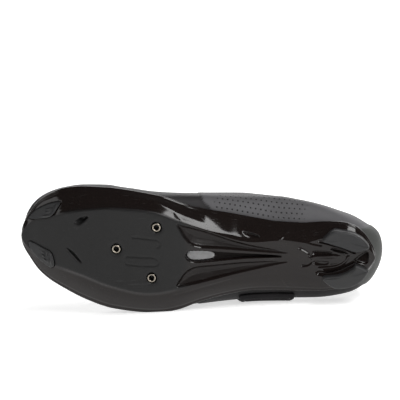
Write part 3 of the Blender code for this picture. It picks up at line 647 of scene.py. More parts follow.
# Ribs and grooves: lines, half width, height (below 0 for a groove), rounds that soften the corners.
SOLE_RIBS = (
    (NOSE_SLITS, 0.0008, -0.0009, 2),
    ((CRESCENT,), 0.0009, 0.0007, 2),
    ((CRESCENT_GROOVE,), 0.0017, -0.0020, 2),
    (PAD_TICKS, 0.0006, 0.0007, 0),
    (HEEL_LINES, 0.0009, 0.0006, 2),
    ((SLANT_MEDIAL, SLANT_LATERAL), 0.0006, 0.0004, 0),
    ((FLANK_LINE,), 0.0008, -0.0004, 2),
    (ALIGNMENT_MARKS, 0.0005, -0.0006, 1),
)


def pocket(x, y, outline, depth, wall, crown=0.0):
    """Pocket with a soft wall. Its floor goes on sinking by crown towards the middle."""
    inside = depth_inside(x, y, outline)
    return depth * soft((inside + wall * WALL_OUTSIDE) / wall) + crown * soft(inside / CROWN_REACH)


def vent_floor(x, y):
    """Depth of the medial toe vent, whose floor slants across it."""
    middle = shares(TOE_VENT_MEDIAL).mean(axis=0)
    turn = np.radians(VENT_TURN)
    rise = (y - middle[1]) * np.cos(turn) - (x - middle[0]) * np.sin(turn)
    return np.clip(VENT_DEPTH + rise, 0.0, 2 * VENT_DEPTH)


def sole_details(x, y):
    """What the details add to the height of the lower face, and the masks that the finish needs."""
    share = x / LENGTH
    out_lateral, out_medial, past_lateral, past_medial = flank(x, y)
    near_rim = np.maximum(out_lateral, out_medial)
    step = soft(past_lateral / BEVEL_WIDTH) + soft(past_medial / BEVEL_WIDTH)
    fade = (1 - out_lateral) * (1 - out_medial)
    add = BEVEL_RISE * step * fade * (REAR_BEVEL + (1 - REAR_BEVEL) * between(share, *FRONT_BEVEL))
    crown = WING_CROWN * (1 - between(share, *FACETED)) * between(share, *ARCHED)
    add -= crown * np.sin(np.pi * out_medial) ** 2
    add -= LATERAL_CROWN * soft((0.9 - share) / 0.1) * np.sin(np.pi * out_lateral) ** 2
    add += RIM_GROOVE * bell(near_rim - 0.90, 0.035) * soft(share / 0.06)

    recesses = 0
    hollows = 0
    for outline in (RECESS_MEDIAL, RECESS_LATERAL):
        recesses = recesses + pocket(x, y, outline, 1.0, RECESS_WALL)
        hollows = hollows + soft(depth_inside(x, y, outline) / HOLLOW_REACH)
    floors = (1 - RECESS_HOLLOW) * recesses + RECESS_HOLLOW * hollows
    add += RECESS_DEPTH * np.clip((share - 0.20) / 0.26, 0.12, 1) * floors
    slot = pocket(x, y, SLOT, 1.0, SLOT_WALL)
    add += SLOT_DEPTH * slot * np.clip((share - 0.22) / 0.10, 0.4, 1)

    add += pocket(x, y, TOE_VENT_LATERAL, VENT_DEPTH, VENT_WALL)
    add += pocket(x, y, TOE_VENT_MEDIAL, 1.0, PAD_WALL) * vent_floor(x, y)
    for outline in (TOE_PAD_MEDIAL, TOE_PAD_LATERAL):
        add += pocket(x, y, outline, PAD_SEAT, PAD_WALL)
    add += pocket(x, y, HEEL_HOLLOW, 1.0, HOLLOW_WALL) * (HOLLOW_DEPTH + HOLLOW_SLOPE * y)
    add -= pocket(x, y, HEEL_NOSE, NOSE_RISE, NOSE_WALL, NOSE_RISE)
    for outline in NOSE_POCKETS:
        middle = shares(outline)[:, 1].mean()
        add += pocket(x, y, outline, 1.0, POCKET_WALL) * (POCKET_DEPTH + POCKET_SLOPE * (y - middle))
    add += pocket(x, y, WING_NOTCH, NOTCH_DEPTH, NOTCH_WALL)
    for lines, half_width, height, rounds in SOLE_RIBS:
        for line in lines:
            add += ridge(x, y, line, half_width, height, rounds)
    ring, ring_width, ring_depth = WELL_RING
    for hole in CLEAT_HOLES.values():
        centre = shares(hole)
        away = np.hypot(x - centre[0], y - centre[1])
        add += INSERT_DEPTH * soft((INSERT_OUTER + GAP + WELL_GAP - away) / WELL_WALL)
        add += ring_depth * bell(away - ring, ring_width)

    tread = soft(1 - 6 * near_rim) * soft((share - 0.50) / 0.05)
    sunk = np.clip(recesses, 0, 1)
    return add, {"satin": tread * (1 - np.clip(recesses + slot, 0, 1)), "slot": slot, "sunk": sunk}


RIM_BEAD = 0.0007
LEAST_SOLE = 0.0008


def sole_grid():
    """Closed rings round the outsole: lower face, rounded rim, upper face, rounded rim."""
    s = even_stations(SOLE_STATIONS)
    x = along(SOLE, s)
    marks = [at(SOLE, "lat", s), smooth_at("tread_lat", s), smooth_at("tread_med", s), at(SOLE, "med", s)]
    pieces = []
    for i, count in enumerate(SOLE_COLUMNS_FINE):
        part = np.linspace(0, 1, count + 1)[:-1]
        pieces.append(marks[i][:, None] + (marks[i + 1] - marks[i])[:, None] * part)
    pieces.append(marks[3][:, None])
    y = np.concatenate(pieces, axis=1)
    xs = np.repeat(x[:, None], y.shape[1], axis=1)
    add, masks = sole_details(xs, y)
    bed = bowl(xs, y)
    low = np.minimum(under(xs, y) + add, bed - LEAST_SOLE)
    lower = np.stack([xs, y, low], axis=-1)

    turn = np.linspace(0, np.pi, 7)[1:-1]
    beads = {}
    for side, end in (("lat", 0), ("med", -1)):
        line, inward = heading_of_rim(s, side)
        bottom = low[:, end]
        top = bed[:, end]
        bead = np.zeros((len(s), len(turn), 3))
        bead[..., :2] = line[:, None] - inward[:, None] * (RIM_BEAD * np.sin(turn))[None, :, None]
        bead[..., 2] = bottom[:, None] + (top - bottom)[:, None] * (1 - np.cos(turn)) / 2
        beads[side] = bead
    back = np.linspace(1, 0, 22)
    top_y = marks[3][:, None] * back + marks[0][:, None] * (1 - back)
    top_x = np.repeat(x[:, None], len(back), axis=1)
    upper = np.stack([top_x, top_y, bowl(top_x, top_y)], axis=-1)
    rings = np.concatenate([lower, beads["med"], upper, beads["lat"][:, ::-1]], axis=1)
    plain = np.zeros((len(s), rings.shape[1] - y.shape[1]))
    return rings, {name: np.concatenate([mask, plain], axis=1) for name, mask in masks.items()}


def grid_faces(rows, columns, around=True):
    """Quads of a grid of points. With around, each row is a closed ring."""
    i, j = np.meshgrid(np.arange(rows - 1), np.arange(columns if around else columns - 1), indexing="ij")
    k = (j + 1) % columns
    quads = [i * columns + j, i * columns + k, (i + 1) * columns + k, (i + 1) * columns + j]
    return np.stack(quads, axis=-1).reshape(-1, 4)


def piece(name, points, faces, slot, finish, replaces=(), masks=None, uv=None):
    """Object from points in the shoe's frame, with its masks as attributes, its uv map and its finish."""
    mesh = bpy.data.meshes.new(name)
    mesh.from_pydata(np.asarray(points, float).reshape(-1, 3).tolist(), [], [tuple(f) for f in faces])
    for key, values in (masks or {}).items():
        layer = mesh.attributes.new(key, "FLOAT", "POINT")
        layer.data.foreach_set("value", np.ascontiguousarray(values, np.float32).reshape(-1))
    if uv is not None:
        corner = np.empty(len(mesh.loops), np.int32)
        mesh.loops.foreach_get("vertex_index", corner)
        layer = mesh.uv_layers.new(name="cloth")
        layer.data.foreach_set("uv", np.asarray(uv, np.float32).reshape(-1, 2)[corner].reshape(-1))
    bm = bmesh.new()
    bm.from_mesh(mesh)
    bmesh.ops.remove_doubles(bm, verts=bm.verts, dist=1e-6)
    bmesh.ops.dissolve_degenerate(bm, edges=bm.edges, dist=1e-7)
    bmesh.ops.recalc_face_normals(bm, faces=bm.faces)
    bm.to_mesh(mesh)
    bm.free()
    mesh.transform(PLACE)
    mesh.polygons.foreach_set("use_smooth", [True] * len(mesh.polygons))
    mesh.materials.append(finish)
    obj = bpy.data.objects.new(name, mesh)
    bpy.context.scene.collection.objects.link(obj)
    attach(obj, "root")
    if replaces:
        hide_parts(*replaces)


def capped(loops):
    """Points and faces of a body from its closed loops, with its two ends closed."""
    loops = np.array(loops)
    rows, columns = loops.shape[:2]
    faces = [tuple(face) for face in grid_faces(rows, columns)]
    faces.append(tuple(range(columns))[::-1])
    faces.append(tuple(range((rows - 1) * columns, rows * columns)))
    return loops, faces


def sole():
    rings, masks = sole_grid()
    faces = grid_faces(*rings.shape[:2])
    piece("moulded_sole", rings, faces, "sole_gloss", sole_finish(), ["outsole"], masks)


BAR_HEIGHT = 0.0010
BAR_HALF_WIDTH = 0.0006
HEEL_SUNK = 0.0012
HEEL_CHAMFER = 0.0018
TOE_STANDS_OUT = 0.0012
TOE_SUNK = 0.0020
TOE_CHAMFER = 0.0006


def tread_block(place, side, outline, low, high, chamfer, bars):
    """Rubber block: rounded outline, chamfered edge, fine bars on its tread face."""
    edge = smoothed(shares(outline))
    centre = edge.mean(axis=0)
    following = np.roll(edge, -1, axis=0)
    ahead = unit(following - edge)
    area = np.sum(edge[:, 0] * following[:, 1] - following[:, 0] * edge[:, 1])
    normal = unit(ahead + np.roll(ahead, 1, axis=0))
    outward = np.stack([normal[:, 1], -normal[:, 0]], axis=-1) * np.sign(area)
    inner = edge - outward * chamfer
    loops = []

    def loop(around, height):
        loops.append(np.column_stack([around, height]))

    for share in np.linspace(0.04, 1.0, 26):
        around = centre + (inner - centre) * share
        height = low(*around.T)
        for bar in bars:
            height = height - BAR_HEIGHT * bell(distance_to_line(*around.T, shares(bar)), BAR_HALF_WIDTH)
        loop(around, height)
    for angle in np.linspace(0, np.pi / 2, 5)[1:]:
        around = inner + outward * chamfer * np.sin(angle)
        loop(around, low(*around.T) + chamfer * (1 - np.cos(angle)))
    bottom = low(*edge.T) + chamfer
    for share in (0.25, 0.5, 0.75, 1.0):
        loop(edge, bottom + (high(*edge.T) - bottom) * share)
    for share in (0.8, 0.5, 0.2, 0.04):
        around = centre + (edge - centre) * share
        loop(around, high(*around.T))
    name = place + "_block_" + side
    piece(name, *capped(loops), "pad_rubber", rubber_finish(), [place + "_pad_" + side])


def ground(x, y):
    return 0 * x


def beside_sole(rise):
    """Face that keeps that height over the sole's plain lower face."""
    return lambda x, y: under(x, y) + rise


def tread_blocks():
    """The blocks of the heel stand on the ground, and those of the toe stand out from the sole."""
    heel = (ground, beside_sole(HEEL_SUNK), HEEL_CHAMFER)
    toe = (beside_sole(-TOE_STANDS_OUT), beside_sole(TOE_SUNK), TOE_CHAMFER)
    tread_block("heel", "medial", HEEL_PAD_MEDIAL, *heel, ())
    tread_block("heel", "lateral", HEEL_PAD_LATERAL, *heel, ())
    tread_block("toe", "medial", TOE_PAD_MEDIAL, *toe, TOE_BARS_MEDIAL)
    tread_block("toe", "lateral", TOE_PAD_LATERAL, *toe, TOE_BARS_LATERAL)


LIP_DEPTH = 0.0004
LIP_ROUND = 0.0006
THREAD_START = 0.0008
THREAD_STEP = 0.0004
THREAD_CUT = 0.0002
THREAD_EDGES = 12


def sleeves():
    """Threaded sleeves of the cleat bolts: a rolled lip, then the thread inside."""
    turn = np.linspace(0, 2 * np.pi, 49)[:-1]
    middle = (INSERT_OUTER + INSERT_BORE) / 2
    half = (INSERT_OUTER - INSERT_BORE) / 2
    profile = [(INSERT_OUTER, INSERT_DEPTH), (INSERT_OUTER, LIP_DEPTH)]
    for angle in np.linspace(0, np.pi, 9):
        profile.append((middle + half * np.cos(angle), LIP_DEPTH - LIP_ROUND * np.sin(angle)))
    for k in range(THREAD_EDGES):
        profile.append((INSERT_BORE + k % 2 * THREAD_CUT, THREAD_START + k * THREAD_STEP))
    profile.append((INSERT_BORE, INSERT_DEPTH))
    ring = np.stack([np.cos(turn), np.sin(turn), 0 * turn], axis=-1)
    faces = grid_faces(len(turn) + 1, len(profile)) % (len(turn) * len(profile))
    for key, hole in CLEAT_HOLES.items():
        loops = [ring * radius + (*shares(hole), height) for radius, height in profile]
        points = np.array(loops).transpose(1, 0, 2)
        piece("bolt_sleeve_" + key, points, faces, "bright_metal", metal_finish(), ["cleat_insert_" + key])


MESH_FIT = 0.985


def slot_mesh():
    """Light mesh closing the slot under the arch."""
    edge = smoothed(shares(SLOT_WINDOW))
    centre = edge.mean(axis=0)
    loops = []
    outward = [(share, GAP + MESH_THICK) for share in np.linspace(0.05, 1, 12)]
    for share, depth in outward + [(1.0, GAP), (0.05, GAP)]:
        around = centre + (edge - centre) * MESH_FIT * share
        height = at(SOLE, "bed", station(SOLE, around[:, 0])) - depth
        loops.append(np.column_stack([around, height]))
    piece("slot_mesh", *capped(loops), "mesh_fabric", mesh_finish(), ["vent_mesh"])


QUARTER_SEAM = ((0.451, 0.0), (0.466, 0.04), (0.496, 0.14), (0.53, 0.62), (0.56, 1.0))
QUARTER_STEP = 0.0005
VAMP_CREASES = ((0.665, 0.10, 0.0011), (0.700, 0.06, 0.0014), (0.735, -0.04, 0.0010))
ANKLE_CREASES = ((0.335, 0.74, 0.0009), (0.375, 0.70, 0.0011), (0.235, 0.66, 0.0008))
CREASE_WIDTH = 0.011
PERFORATED = (0.20, 0.47)
PERFORATED_LEVELS = (0.02, 0.86)
COUNTER_FADES = (0.010, 0.04)
CUFF_END = 0.42
CUFF_LEVEL = 0.88
CUFF_SPAN = 0.10
ROLL = 0.0007
ROLL_LEVEL = 0.955


def seam_at(t):
    """Share of LENGTH at which the quarter ends, by height on the upper."""
    xs, ts = zip(*QUARTER_SEAM)
    return np.interp(t, ts, xs)


def counter_step(share, t):
    """How far the heel counter stands out from the quarter behind it."""
    back = (COUNTER_END - COUNTER_LEAN * t - share) / COUNTER_FADES[0]
    return COUNTER * soft(back) * soft((COUNTER_TOP - t) / COUNTER_FADES[1])


def upper_relief(share, t):
    """Seam steps and creases of the upper, as a height over its plain skin."""
    step = QUARTER_STEP * soft((seam_at(t) - share) / 0.004)
    height = step + counter_step(share, t)
    for middle, lean, depth in VAMP_CREASES:
        gap = (share - middle - lean * (1 - t)) / CREASE_WIDTH
        height = height - depth * bell(gap, 1) * soft((t - 0.45) / 0.35)
        height = height + 0.5 * depth * bell(gap - 1.7, 1) * soft((t - 0.5) / 0.35)
    for middle, level, depth in ANKLE_CREASES:
        gap = share - middle - 0.10 * (t - level)
        height = height - depth * bell(gap, 0.010) * bell(t - level, 0.13)
    return height


def cuff(share, t):
    """How much thicker the wall is at the padded collar."""
    return CUFF * soft((CUFF_END - share) / 0.06) * bell(t - CUFF_LEVEL, CUFF_SPAN)


def upper():
    s = np.unique(np.append(even_stations(UPPER_STATIONS), THROAT_STATION))
    low_part = np.linspace(0, LOWER_SHARE, LOWER_STEPS + 1)[:-1]
    t = np.concatenate([low_part, np.linspace(LOWER_SHARE, 1, ROOF_STEPS + 1)])
    outer = np.concatenate([skin(s, t, "lat"), skin(s[1:-1], t, "med")[::-1]])
    normal = normals(outer, closed=True)
    total = len(outer)
    for i in np.flatnonzero(s >= THROAT_STATION):
        twins = [i, (2 * (len(s) - 1) - i) % total]
        normal[twins, -1] = unit(normal[twins, -1].sum(axis=0))
    around = np.concatenate([s, s[1:-1][::-1]])
    share, level = np.broadcast_arrays(along(UPPER, around)[:, None] / LENGTH, t[None, :])
    relief = upper_relief(share, level)
    inner = outer - normal * (WALL + cuff(share, level))[..., None]
    roll = ROLL * soft((level - ROLL_LEVEL) / 0.03) * (share < CUFF_END)
    outer = outer + normal * (relief + roll)[..., None]
    rings = np.concatenate([outer, inner[:, ::-1]], axis=1)
    columns = rings.shape[1]
    is_open = np.minimum(around, np.roll(around, -1)) < THROAT_STATION
    faces = []
    for quad in grid_faces(total + 1, columns):
        row, column = divmod(int(quad[0]), columns)
        if column != len(t) - 1 or is_open[row]:
            faces.append(tuple(quad % (total * columns)))
    uv = there_and_back(np.stack([outer[..., 0], arc_lengths(outer)], axis=-1))
    flat = np.zeros(inner.shape[:2])
    quarter = soft((seam_at(level) - share) / 0.003)
    holes = quarter * between(share, *PERFORATED, 0.02, 0.02) * between(level, *PERFORATED_LEVELS, 0.03, 0.06)
    counter = counter_step(share, level) / COUNTER
    seam = bell(seam_at(level) - share, 0.0035)
    masks = {"lining": np.concatenate([flat, flat + 1], axis=1)}
    for key, value in (("quarter", quarter), ("holes", holes), ("counter", counter), ("seam", seam)):
        masks[key] = np.concatenate([value, flat], axis=1)
    piece("stitched_upper", rings, faces, "upper_synthetic", upper_finish(), ["upper"], masks, uv)


def sheet(low, high):
    """Closed shell between two grids of the same shape."""
    rings = np.concatenate([low, high[:, ::-1]], axis=1)
    rows, columns = rings.shape[:2]
    faces = [tuple(f) for f in grid_faces(rows, columns)]
    half = columns // 2
    for row in (0, rows - 1):
        for j in range(half - 1):
            a = row * columns + j
            b = row * columns + columns - 1 - j
            faces.append((a, a + 1, b - 1, b))
    return rings, faces


INSOLE_DISH = 0.0004


def insole():
    s = np.linspace(0.02, 0.98, 220)
    inset = FEATHER + WALL + 2 * INSOLE_GAP
    share = np.linspace(0, 1, 60)
    part = share[None, :, None]
    plan = rim(s, "lat", inset)[:, None] * (1 - part) + rim(s, "med", inset)[:, None] * part
    low = bowl(plan[..., 0], plan[..., 1]) + INSOLE_GAP
    lower = np.concatenate([plan, low[..., None]], axis=-1)
    dish = INSOLE_DISH * soft(np.minimum(share, 1 - share)[None, :] / 0.2)
    top = lower + (INSOLE - dish)[..., None] * (0, 0, 1)
    points, faces = sheet(lower, top)
    finish = lining_finish("footbed_cloth")
    piece("footbed", points, faces, "lining_fabric", finish, ["insole"], uv=there_and_back(plan))


TONGUE_SPREADS = np.array([0.0, 0.55, 0.10])
TONGUE_LEANS = np.array([-0.78, 0.0, 0.70])
TONGUE_CHANNEL = 0.0005
TONGUE_EDGE = 0.0014


def tongue():
    marks = shares(TONGUE_MARKS).T
    fine = np.linspace(0, 1, 130) * (len(TONGUE_MARKS) - 1)
    xs, widths = [np.interp(fine, np.arange(len(TONGUE_MARKS)), column) for column in marks]
    v = np.linspace(-1, 1, 60)
    rows = [across(x, w * v) for x, w in zip(xs, widths)]
    base = rows[-1]
    middle = base.mean(axis=0)
    for share in np.linspace(0, 1, 41)[1:]:
        lifted = middle + (base - middle) * (1 + share * TONGUE_SPREADS)
        rows.append(lifted + share * TONGUE_LEANS * TONGUE_RISE)
    grid = np.array(rows)[::-1]
    normal = normals(grid)
    high = WALL + TONGUE_GAP
    edge = soft((1 - np.abs(v)) / 0.12)[None, :] * soft(np.linspace(0, 1, len(grid)) / 0.03)[:, None]
    channel = TONGUE_CHANNEL * bell(np.abs(v)[None, :] - 0.62, 0.05)
    thick = TONGUE_EDGE + (TONGUE - TONGUE_EDGE) * edge
    middle_line = high + TONGUE / 2
    top = grid - normal * (middle_line - thick / 2 + channel)[..., None]
    low = grid - normal * (middle_line + thick / 2)[..., None]
    points, faces = sheet(low, top)
    steps = np.linalg.norm(np.diff(grid, axis=0), axis=-1).mean(axis=1)
    down = np.concatenate([[0], np.cumsum(steps)])
    place = np.stack(np.broadcast_arrays(down[:, None], v[None] * 0.017), axis=-1)
    finish = lining_finish("tongue_cloth")
    piece("padded_tongue", points, faces, "lining_fabric", finish, ["tongue"], uv=there_and_back(place))


STRAP_GROOVE = 0.00035
STITCH_RADIUS = 0.00028
STITCH_SUNK = 0.0001
STITCH_EVERY = 3
STITCH_PROFILE = ((0, 0.3), (0.2, 1), (0.8, 1), (1, 0.3))


def strap(place, marks, ends):
    """Strap over the throat. Its ends are how far down each side it reaches, as in reach()."""
    v = np.linspace(-1, 1, 160)
    bend = np.sin(v * np.pi / 2) ** 2
    lateral, over, medial = np.array(marks)[..., None] / 100
    middle, half = over + (np.where(v < 0, lateral, medial) - over) * bend
    w = np.linspace(-1, 1, 37)
    rows = []
    for side in w:
        row = []
        for k in range(len(v)):
            x = (middle[k] + side * half[k]) * LENGTH
            low, high = [reach(x, end) for end in ends]
            row.append(across(x, low * max(-v[k], 0) + high * max(v[k], 0)))
        rows.append(row)
    grid = np.array(rows)
    for _ in range(2):
        grid[:, 1:-1] = (grid[:, :-2] + 2 * grid[:, 1:-1] + grid[:, 2:]) / 4
    normal = normals(grid)
    across_edge = np.minimum(1 - np.abs(w)[:, None], (1 - np.abs(v))[None, :] * 3.0)
    crown = 0.45 + 0.55 * soft(across_edge / 0.10)
    groove = STRAP_GROOVE * bell(across_edge - 0.20, 0.035)
    low = grid + normal * STRAP_GAP
    top = grid + normal * (STRAP_GAP + STRAP * crown - groove)[..., None]
    points, faces = sheet(low, top)
    uv = there_and_back(np.stack(np.broadcast_arrays(v[None] * 0.06, w[:, None] * 0.02), axis=-1))
    name = "closing_strap_" + place
    piece(name, points, faces, "strap_synthetic", strap_finish(), ["strap_" + place], uv=uv)
    stitches(name + "_stitches", grid, normal, w, v, crown)


def stitches(name, grid, normal, w, v, crown):
    """Row of short threads along the two long edges of a strap."""
    points = []
    faces = []
    ring = np.linspace(0, 2 * np.pi, 7)[:-1, None]
    for row in (int(0.10 * len(w)), int(0.90 * len(w))):
        line = grid[row] + normal[row] * (STRAP_GAP + STRAP * crown[row] - STITCH_SUNK)[:, None]
        for k in range(4, len(v) - 5, STITCH_EVERY):
            start = line[k]
            ahead = (line[k + 2] - start) * 0.9
            up = normal[row][k]
            away = (np.cross(unit(ahead), up) * np.cos(ring) + up * np.sin(ring)) * STITCH_RADIUS
            loops = [start + ahead * share + away * radius for share, radius in STITCH_PROFILE]
            thread, sides = capped(loops)
            faces += [tuple(len(points) + corner for corner in side) for side in sides]
            points.extend(thread.reshape(-1, 3))
    piece(name, np.array(points), faces, "strap_synthetic", thread_finish())


class Nodes:
    """Node tree of a material or a shared group, with short names for the nodes put in it."""

    def __init__(self, tree):
        self.tree = tree

    def put(self, kind, inputs=None, **settings):
        """New node's outputs. An input is a value, or the output socket that feeds it."""
        node = self.tree.nodes.new(kind)
        for key, value in settings.items():
            setattr(node, key, value)
        for key, value in (inputs or {}).items():
            if isinstance(value, bpy.types.NodeSocket):
                self.tree.links.new(value, node.inputs[key])
            else:
                node.inputs[key].default_value = value
        return node.outputs

    def math(self, operation, a, b=0.0, clamp=False):
        return self.put("ShaderNodeMath", {0: a, 1: b}, operation=operation, use_clamp=clamp)[0]

    def times(self, a, b):
        return self.math("MULTIPLY", a, b)

    def ranged(self, value, low, high, to_low=0.0, to_high=1.0, kind="LINEAR"):
        inputs = {"Value": value, "From Min": low, "From Max": high, "To Min": to_low, "To Max": to_high}
        return self.put("ShaderNodeMapRange", inputs, interpolation_type=kind)[0]

    def eased(self, value, low, high, to_low=0.0, to_high=1.0):
        return self.ranged(value, low, high, to_low, to_high, "SMOOTHSTEP")

    def spread(self, mask, low, high):
        """Value that goes from low to high where the mask goes from 0 to 1."""
        return self.ranged(mask, 0.0, 1.0, low, high)

    def noise(self, place, scale, **more):
        return self.put("ShaderNodeTexNoise", {"Vector": place, "Scale": scale, **more})["Fac"]

    def plan(self, place, scale):
        """The two flat coordinates of a place, scaled."""
        grid = self.put("ShaderNodeVectorMath", {0: place, "Scale": scale}, operation="SCALE")
        parts = self.put("ShaderNodeSeparateXYZ", {0: grid[0]})
        return parts["X"], parts["Y"]

    def use(self, shared, **inputs):
        """Outputs of a shared group put in this tree."""
        return self.put("ShaderNodeGroup", inputs, node_tree=shared)

    def mixed(self, share, a, b):
        """Colour between a and b, each a tuple of three or a socket."""
        a, b = [c if isinstance(c, bpy.types.NodeSocket) else (*c, 1.0) for c in (a, b)]
        return self.put("ShaderNodeMix", {0: share, 6: a, 7: b}, data_type="RGBA")[2]

    def tinted(self, colour, mask, strength, tint):
        return self.mixed(self.times(mask, strength), colour, tint)

    def mask(self, name):
        return self.put("ShaderNodeAttribute", attribute_name=name)["Fac"]

    def bump(self, height, distance, **after):
        return self.put("ShaderNodeBump", {"Height": height, "Distance": distance, **after})[0]


class Finish(Nodes):
    """Material of one finish. The values are those that don't change over it."""

    def __init__(self, name, **values):
        self.made = bpy.data.materials.new(name)
        self.made.use_nodes = True
        super().__init__(self.made.node_tree)
        self.shader = self.tree.nodes["Principled BSDF"]
        for key, value in values.items():
            self.shader.inputs[key.replace("_", " ")].default_value = value
        self.place = self.put("ShaderNodeTexCoord")["Object"]

    def cloth(self):
        return self.put("ShaderNodeUVMap", uv_map="cloth")[0]

    def grain(self, pebble):
        return self.use(GRAIN, Place=self.place, Pebble=pebble)["Height"]

    def wear(self):
        return self.use(WEAR, Place=self.place)

    def done(self, **sockets):
        for key, value in sockets.items():
            self.tree.links.new(value, self.shader.inputs[key.replace("_", " ")])
        return self.made


def group(name, sizes, outputs):
    """Empty shared group: its nodes, its inputs Place and the named sizes, and its value outputs."""
    tree = bpy.data.node_groups.new(name, "ShaderNodeTree")
    tree.interface.new_socket("Place", in_out="INPUT", socket_type="NodeSocketVector")
    for label, value in sizes.items():
        socket = tree.interface.new_socket(label, in_out="INPUT", socket_type="NodeSocketFloat")
        socket.default_value = value
    for label in outputs:
        tree.interface.new_socket(label, in_out="OUTPUT", socket_type="NodeSocketFloat")
    nodes = Nodes(tree)
    return nodes, nodes.put("NodeGroupInput"), tree.nodes.new("NodeGroupOutput").inputs


def punched_dots():
    """Staggered rows of round holes, as a mask of 1 inside a hole."""
    nodes, given, out = group("punched_dots", {"Spacing": 0.004, "Hole": 0.0005}, ["Mask"])
    size = nodes.math("DIVIDE", 1.0, given["Spacing"])
    x, y = nodes.plan(given["Place"], size)
    shift = nodes.times(nodes.math("PINGPONG", nodes.math("FLOOR", y), 1.0), 0.5)
    sides = [
        nodes.math("SUBTRACT", nodes.math("FRACT", value), 0.5)
        for value in (nodes.math("ADD", x, shift), y)
    ]
    away = nodes.math("SQRT", nodes.math("ADD", *[nodes.times(side, side) for side in sides]))
    radius = nodes.times(given["Hole"], size)
    mask = nodes.eased(away, nodes.times(radius, 0.7), nodes.times(radius, 1.3), 1.0, 0.0)
    nodes.tree.links.new(mask, out["Mask"])
    return nodes.tree


def woven_threads():
    """Plain weave: height of the threads over and under each other."""
    nodes, given, out = group("woven_threads", {"Thread": 0.0008}, ["Height"])
    x, y = nodes.plan(given["Place"], nodes.math("DIVIDE", 3.14159, given["Thread"]))
    crossing = nodes.times(nodes.math("SINE", x), nodes.math("SINE", y))
    height = nodes.math("POWER", nodes.math("ABSOLUTE", crossing), 0.6)
    nodes.tree.links.new(height, out["Height"])
    return nodes.tree


def fine_grain():
    """Pebbled grain of moulded or pressed surfaces: broad pebbles with a finer noise on them."""
    nodes, given, out = group("fine_grain", {"Pebble": 0.0008}, ["Height"])
    size = nodes.math("DIVIDE", 1.0, given["Pebble"])
    cells = {"Vector": given["Place"], "Scale": size}
    pebbles = nodes.put("ShaderNodeTexVoronoi", cells, feature="SMOOTH_F1")["Distance"]
    finer = nodes.noise(given["Place"], nodes.times(size, 2.7), Detail=3.0)
    nodes.tree.links.new(nodes.math("ADD", pebbles, nodes.times(finer, 0.5)), out["Height"])
    return nodes.tree


def handling_wear():
    """Smudges, fine scuffs and dust left by handling, each as a mask from 0 to 1."""
    nodes, given, out = group("handling_wear", {}, ["Smudge", "Scuff", "Dust"])
    place = given["Place"]
    cloud = nodes.noise(place, 26.0, Detail=5.0, Roughness=0.6)
    nodes.tree.links.new(nodes.eased(cloud, 0.42, 0.68), out["Smudge"])
    drawn = nodes.put("ShaderNodeMapping", {"Vector": place, "Scale": (60.0, 900.0, 500.0)})[0]
    lines = nodes.eased(nodes.noise(drawn, 1.0, Detail=2.0), 0.60, 0.72)
    patches = nodes.eased(nodes.noise(place, 60.0), 0.50, 0.62)
    nodes.tree.links.new(nodes.times(lines, patches), out["Scuff"])
    specks = nodes.noise(place, 1400.0, Detail=1.0)
    nodes.tree.links.new(nodes.eased(specks, 0.72, 0.80), out["Dust"])
    return nodes.tree


DOTS = punched_dots()
WEAVE = woven_threads()
GRAIN = fine_grain()
WEAR = handling_wear()

SOLE_BLACK = (0.0090, 0.0062, 0.0055)
SOLE_SATIN = (0.0075, 0.0073, 0.0073)
QUARTER_GREY = (0.108, 0.106, 0.111)
VAMP_BLACK = (0.022, 0.020, 0.021)
# Near black of the painted shade on the upper's lower side, next to the floor.
UNDERSIDE_SHADE_BLACK = (0.004, 0.0035, 0.0035)
COUNTER_GREY = (0.058, 0.060, 0.057)
LINING_BLACK = (0.020, 0.020, 0.021)


def sole_finish():
    look = Finish("gloss_moulding", IOR=1.38)
    satin = look.mask("satin")
    wear = look.wear()
    colour = look.mixed(satin, SOLE_BLACK, SOLE_SATIN)
    colour = look.tinted(colour, wear["Scuff"], 0.25, (0.05, 0.05, 0.05))
    colour = look.tinted(colour, wear["Dust"], 0.30, (0.09, 0.088, 0.085))
    rough = look.spread(satin, 0.08, 0.42)
    for name, least in (("sunk", 0.34), ("slot", 0.85)):
        rough = look.math("MAXIMUM", rough, look.times(look.mask(name), least))
    rough = look.math("ADD", rough, look.times(wear["Smudge"], 0.05))
    rough = look.math("ADD", rough, look.times(wear["Scuff"], 0.15), True)
    grain = look.grain(0.0007)
    height = look.times(grain, look.spread(satin, 0.05, 1.0))
    return look.done(Base_Color=colour, Roughness=rough, Normal=look.bump(height, 0.00006))


def rubber_finish():
    look = Finish("tread_rubber", IOR=1.38)
    wear = look.wear()
    grain = look.grain(0.0006)
    colour = look.mixed(wear["Smudge"], (0.024, 0.024, 0.025), (0.034, 0.034, 0.034))
    colour = look.tinted(colour, wear["Dust"], 0.5, (0.10, 0.098, 0.095))
    rough = look.spread(wear["Smudge"], 0.44, 0.58)
    return look.done(Base_Color=colour, Roughness=rough, Normal=look.bump(grain, 0.00012))


def metal_finish():
    look = Finish("turned_metal", Metallic=1.0, IOR=1.5)
    rings = look.noise(look.place, 2600.0, Detail=2.0)
    colour = look.mixed(look.eased(rings, 0.3, 0.7), (0.33, 0.29, 0.24), (0.42, 0.38, 0.32))
    rough = look.ranged(rings, 0.3, 0.7, 0.20, 0.34)
    return look.done(Base_Color=colour, Roughness=rough, Normal=look.bump(rings, 0.00003))


def mesh_finish():
    look = Finish("light_mesh", Roughness=0.85, IOR=1.45)
    turned = look.put("ShaderNodeMapping", {"Vector": look.place, "Rotation": (1.5708, 0.0, 0.0)})[0]
    weave = look.use(WEAVE, Place=turned, Thread=0.0009)["Height"]
    colour = look.mixed(weave, (0.20, 0.20, 0.20), (0.62, 0.62, 0.62))
    return look.done(Base_Color=colour, Normal=look.bump(weave, 0.0002))


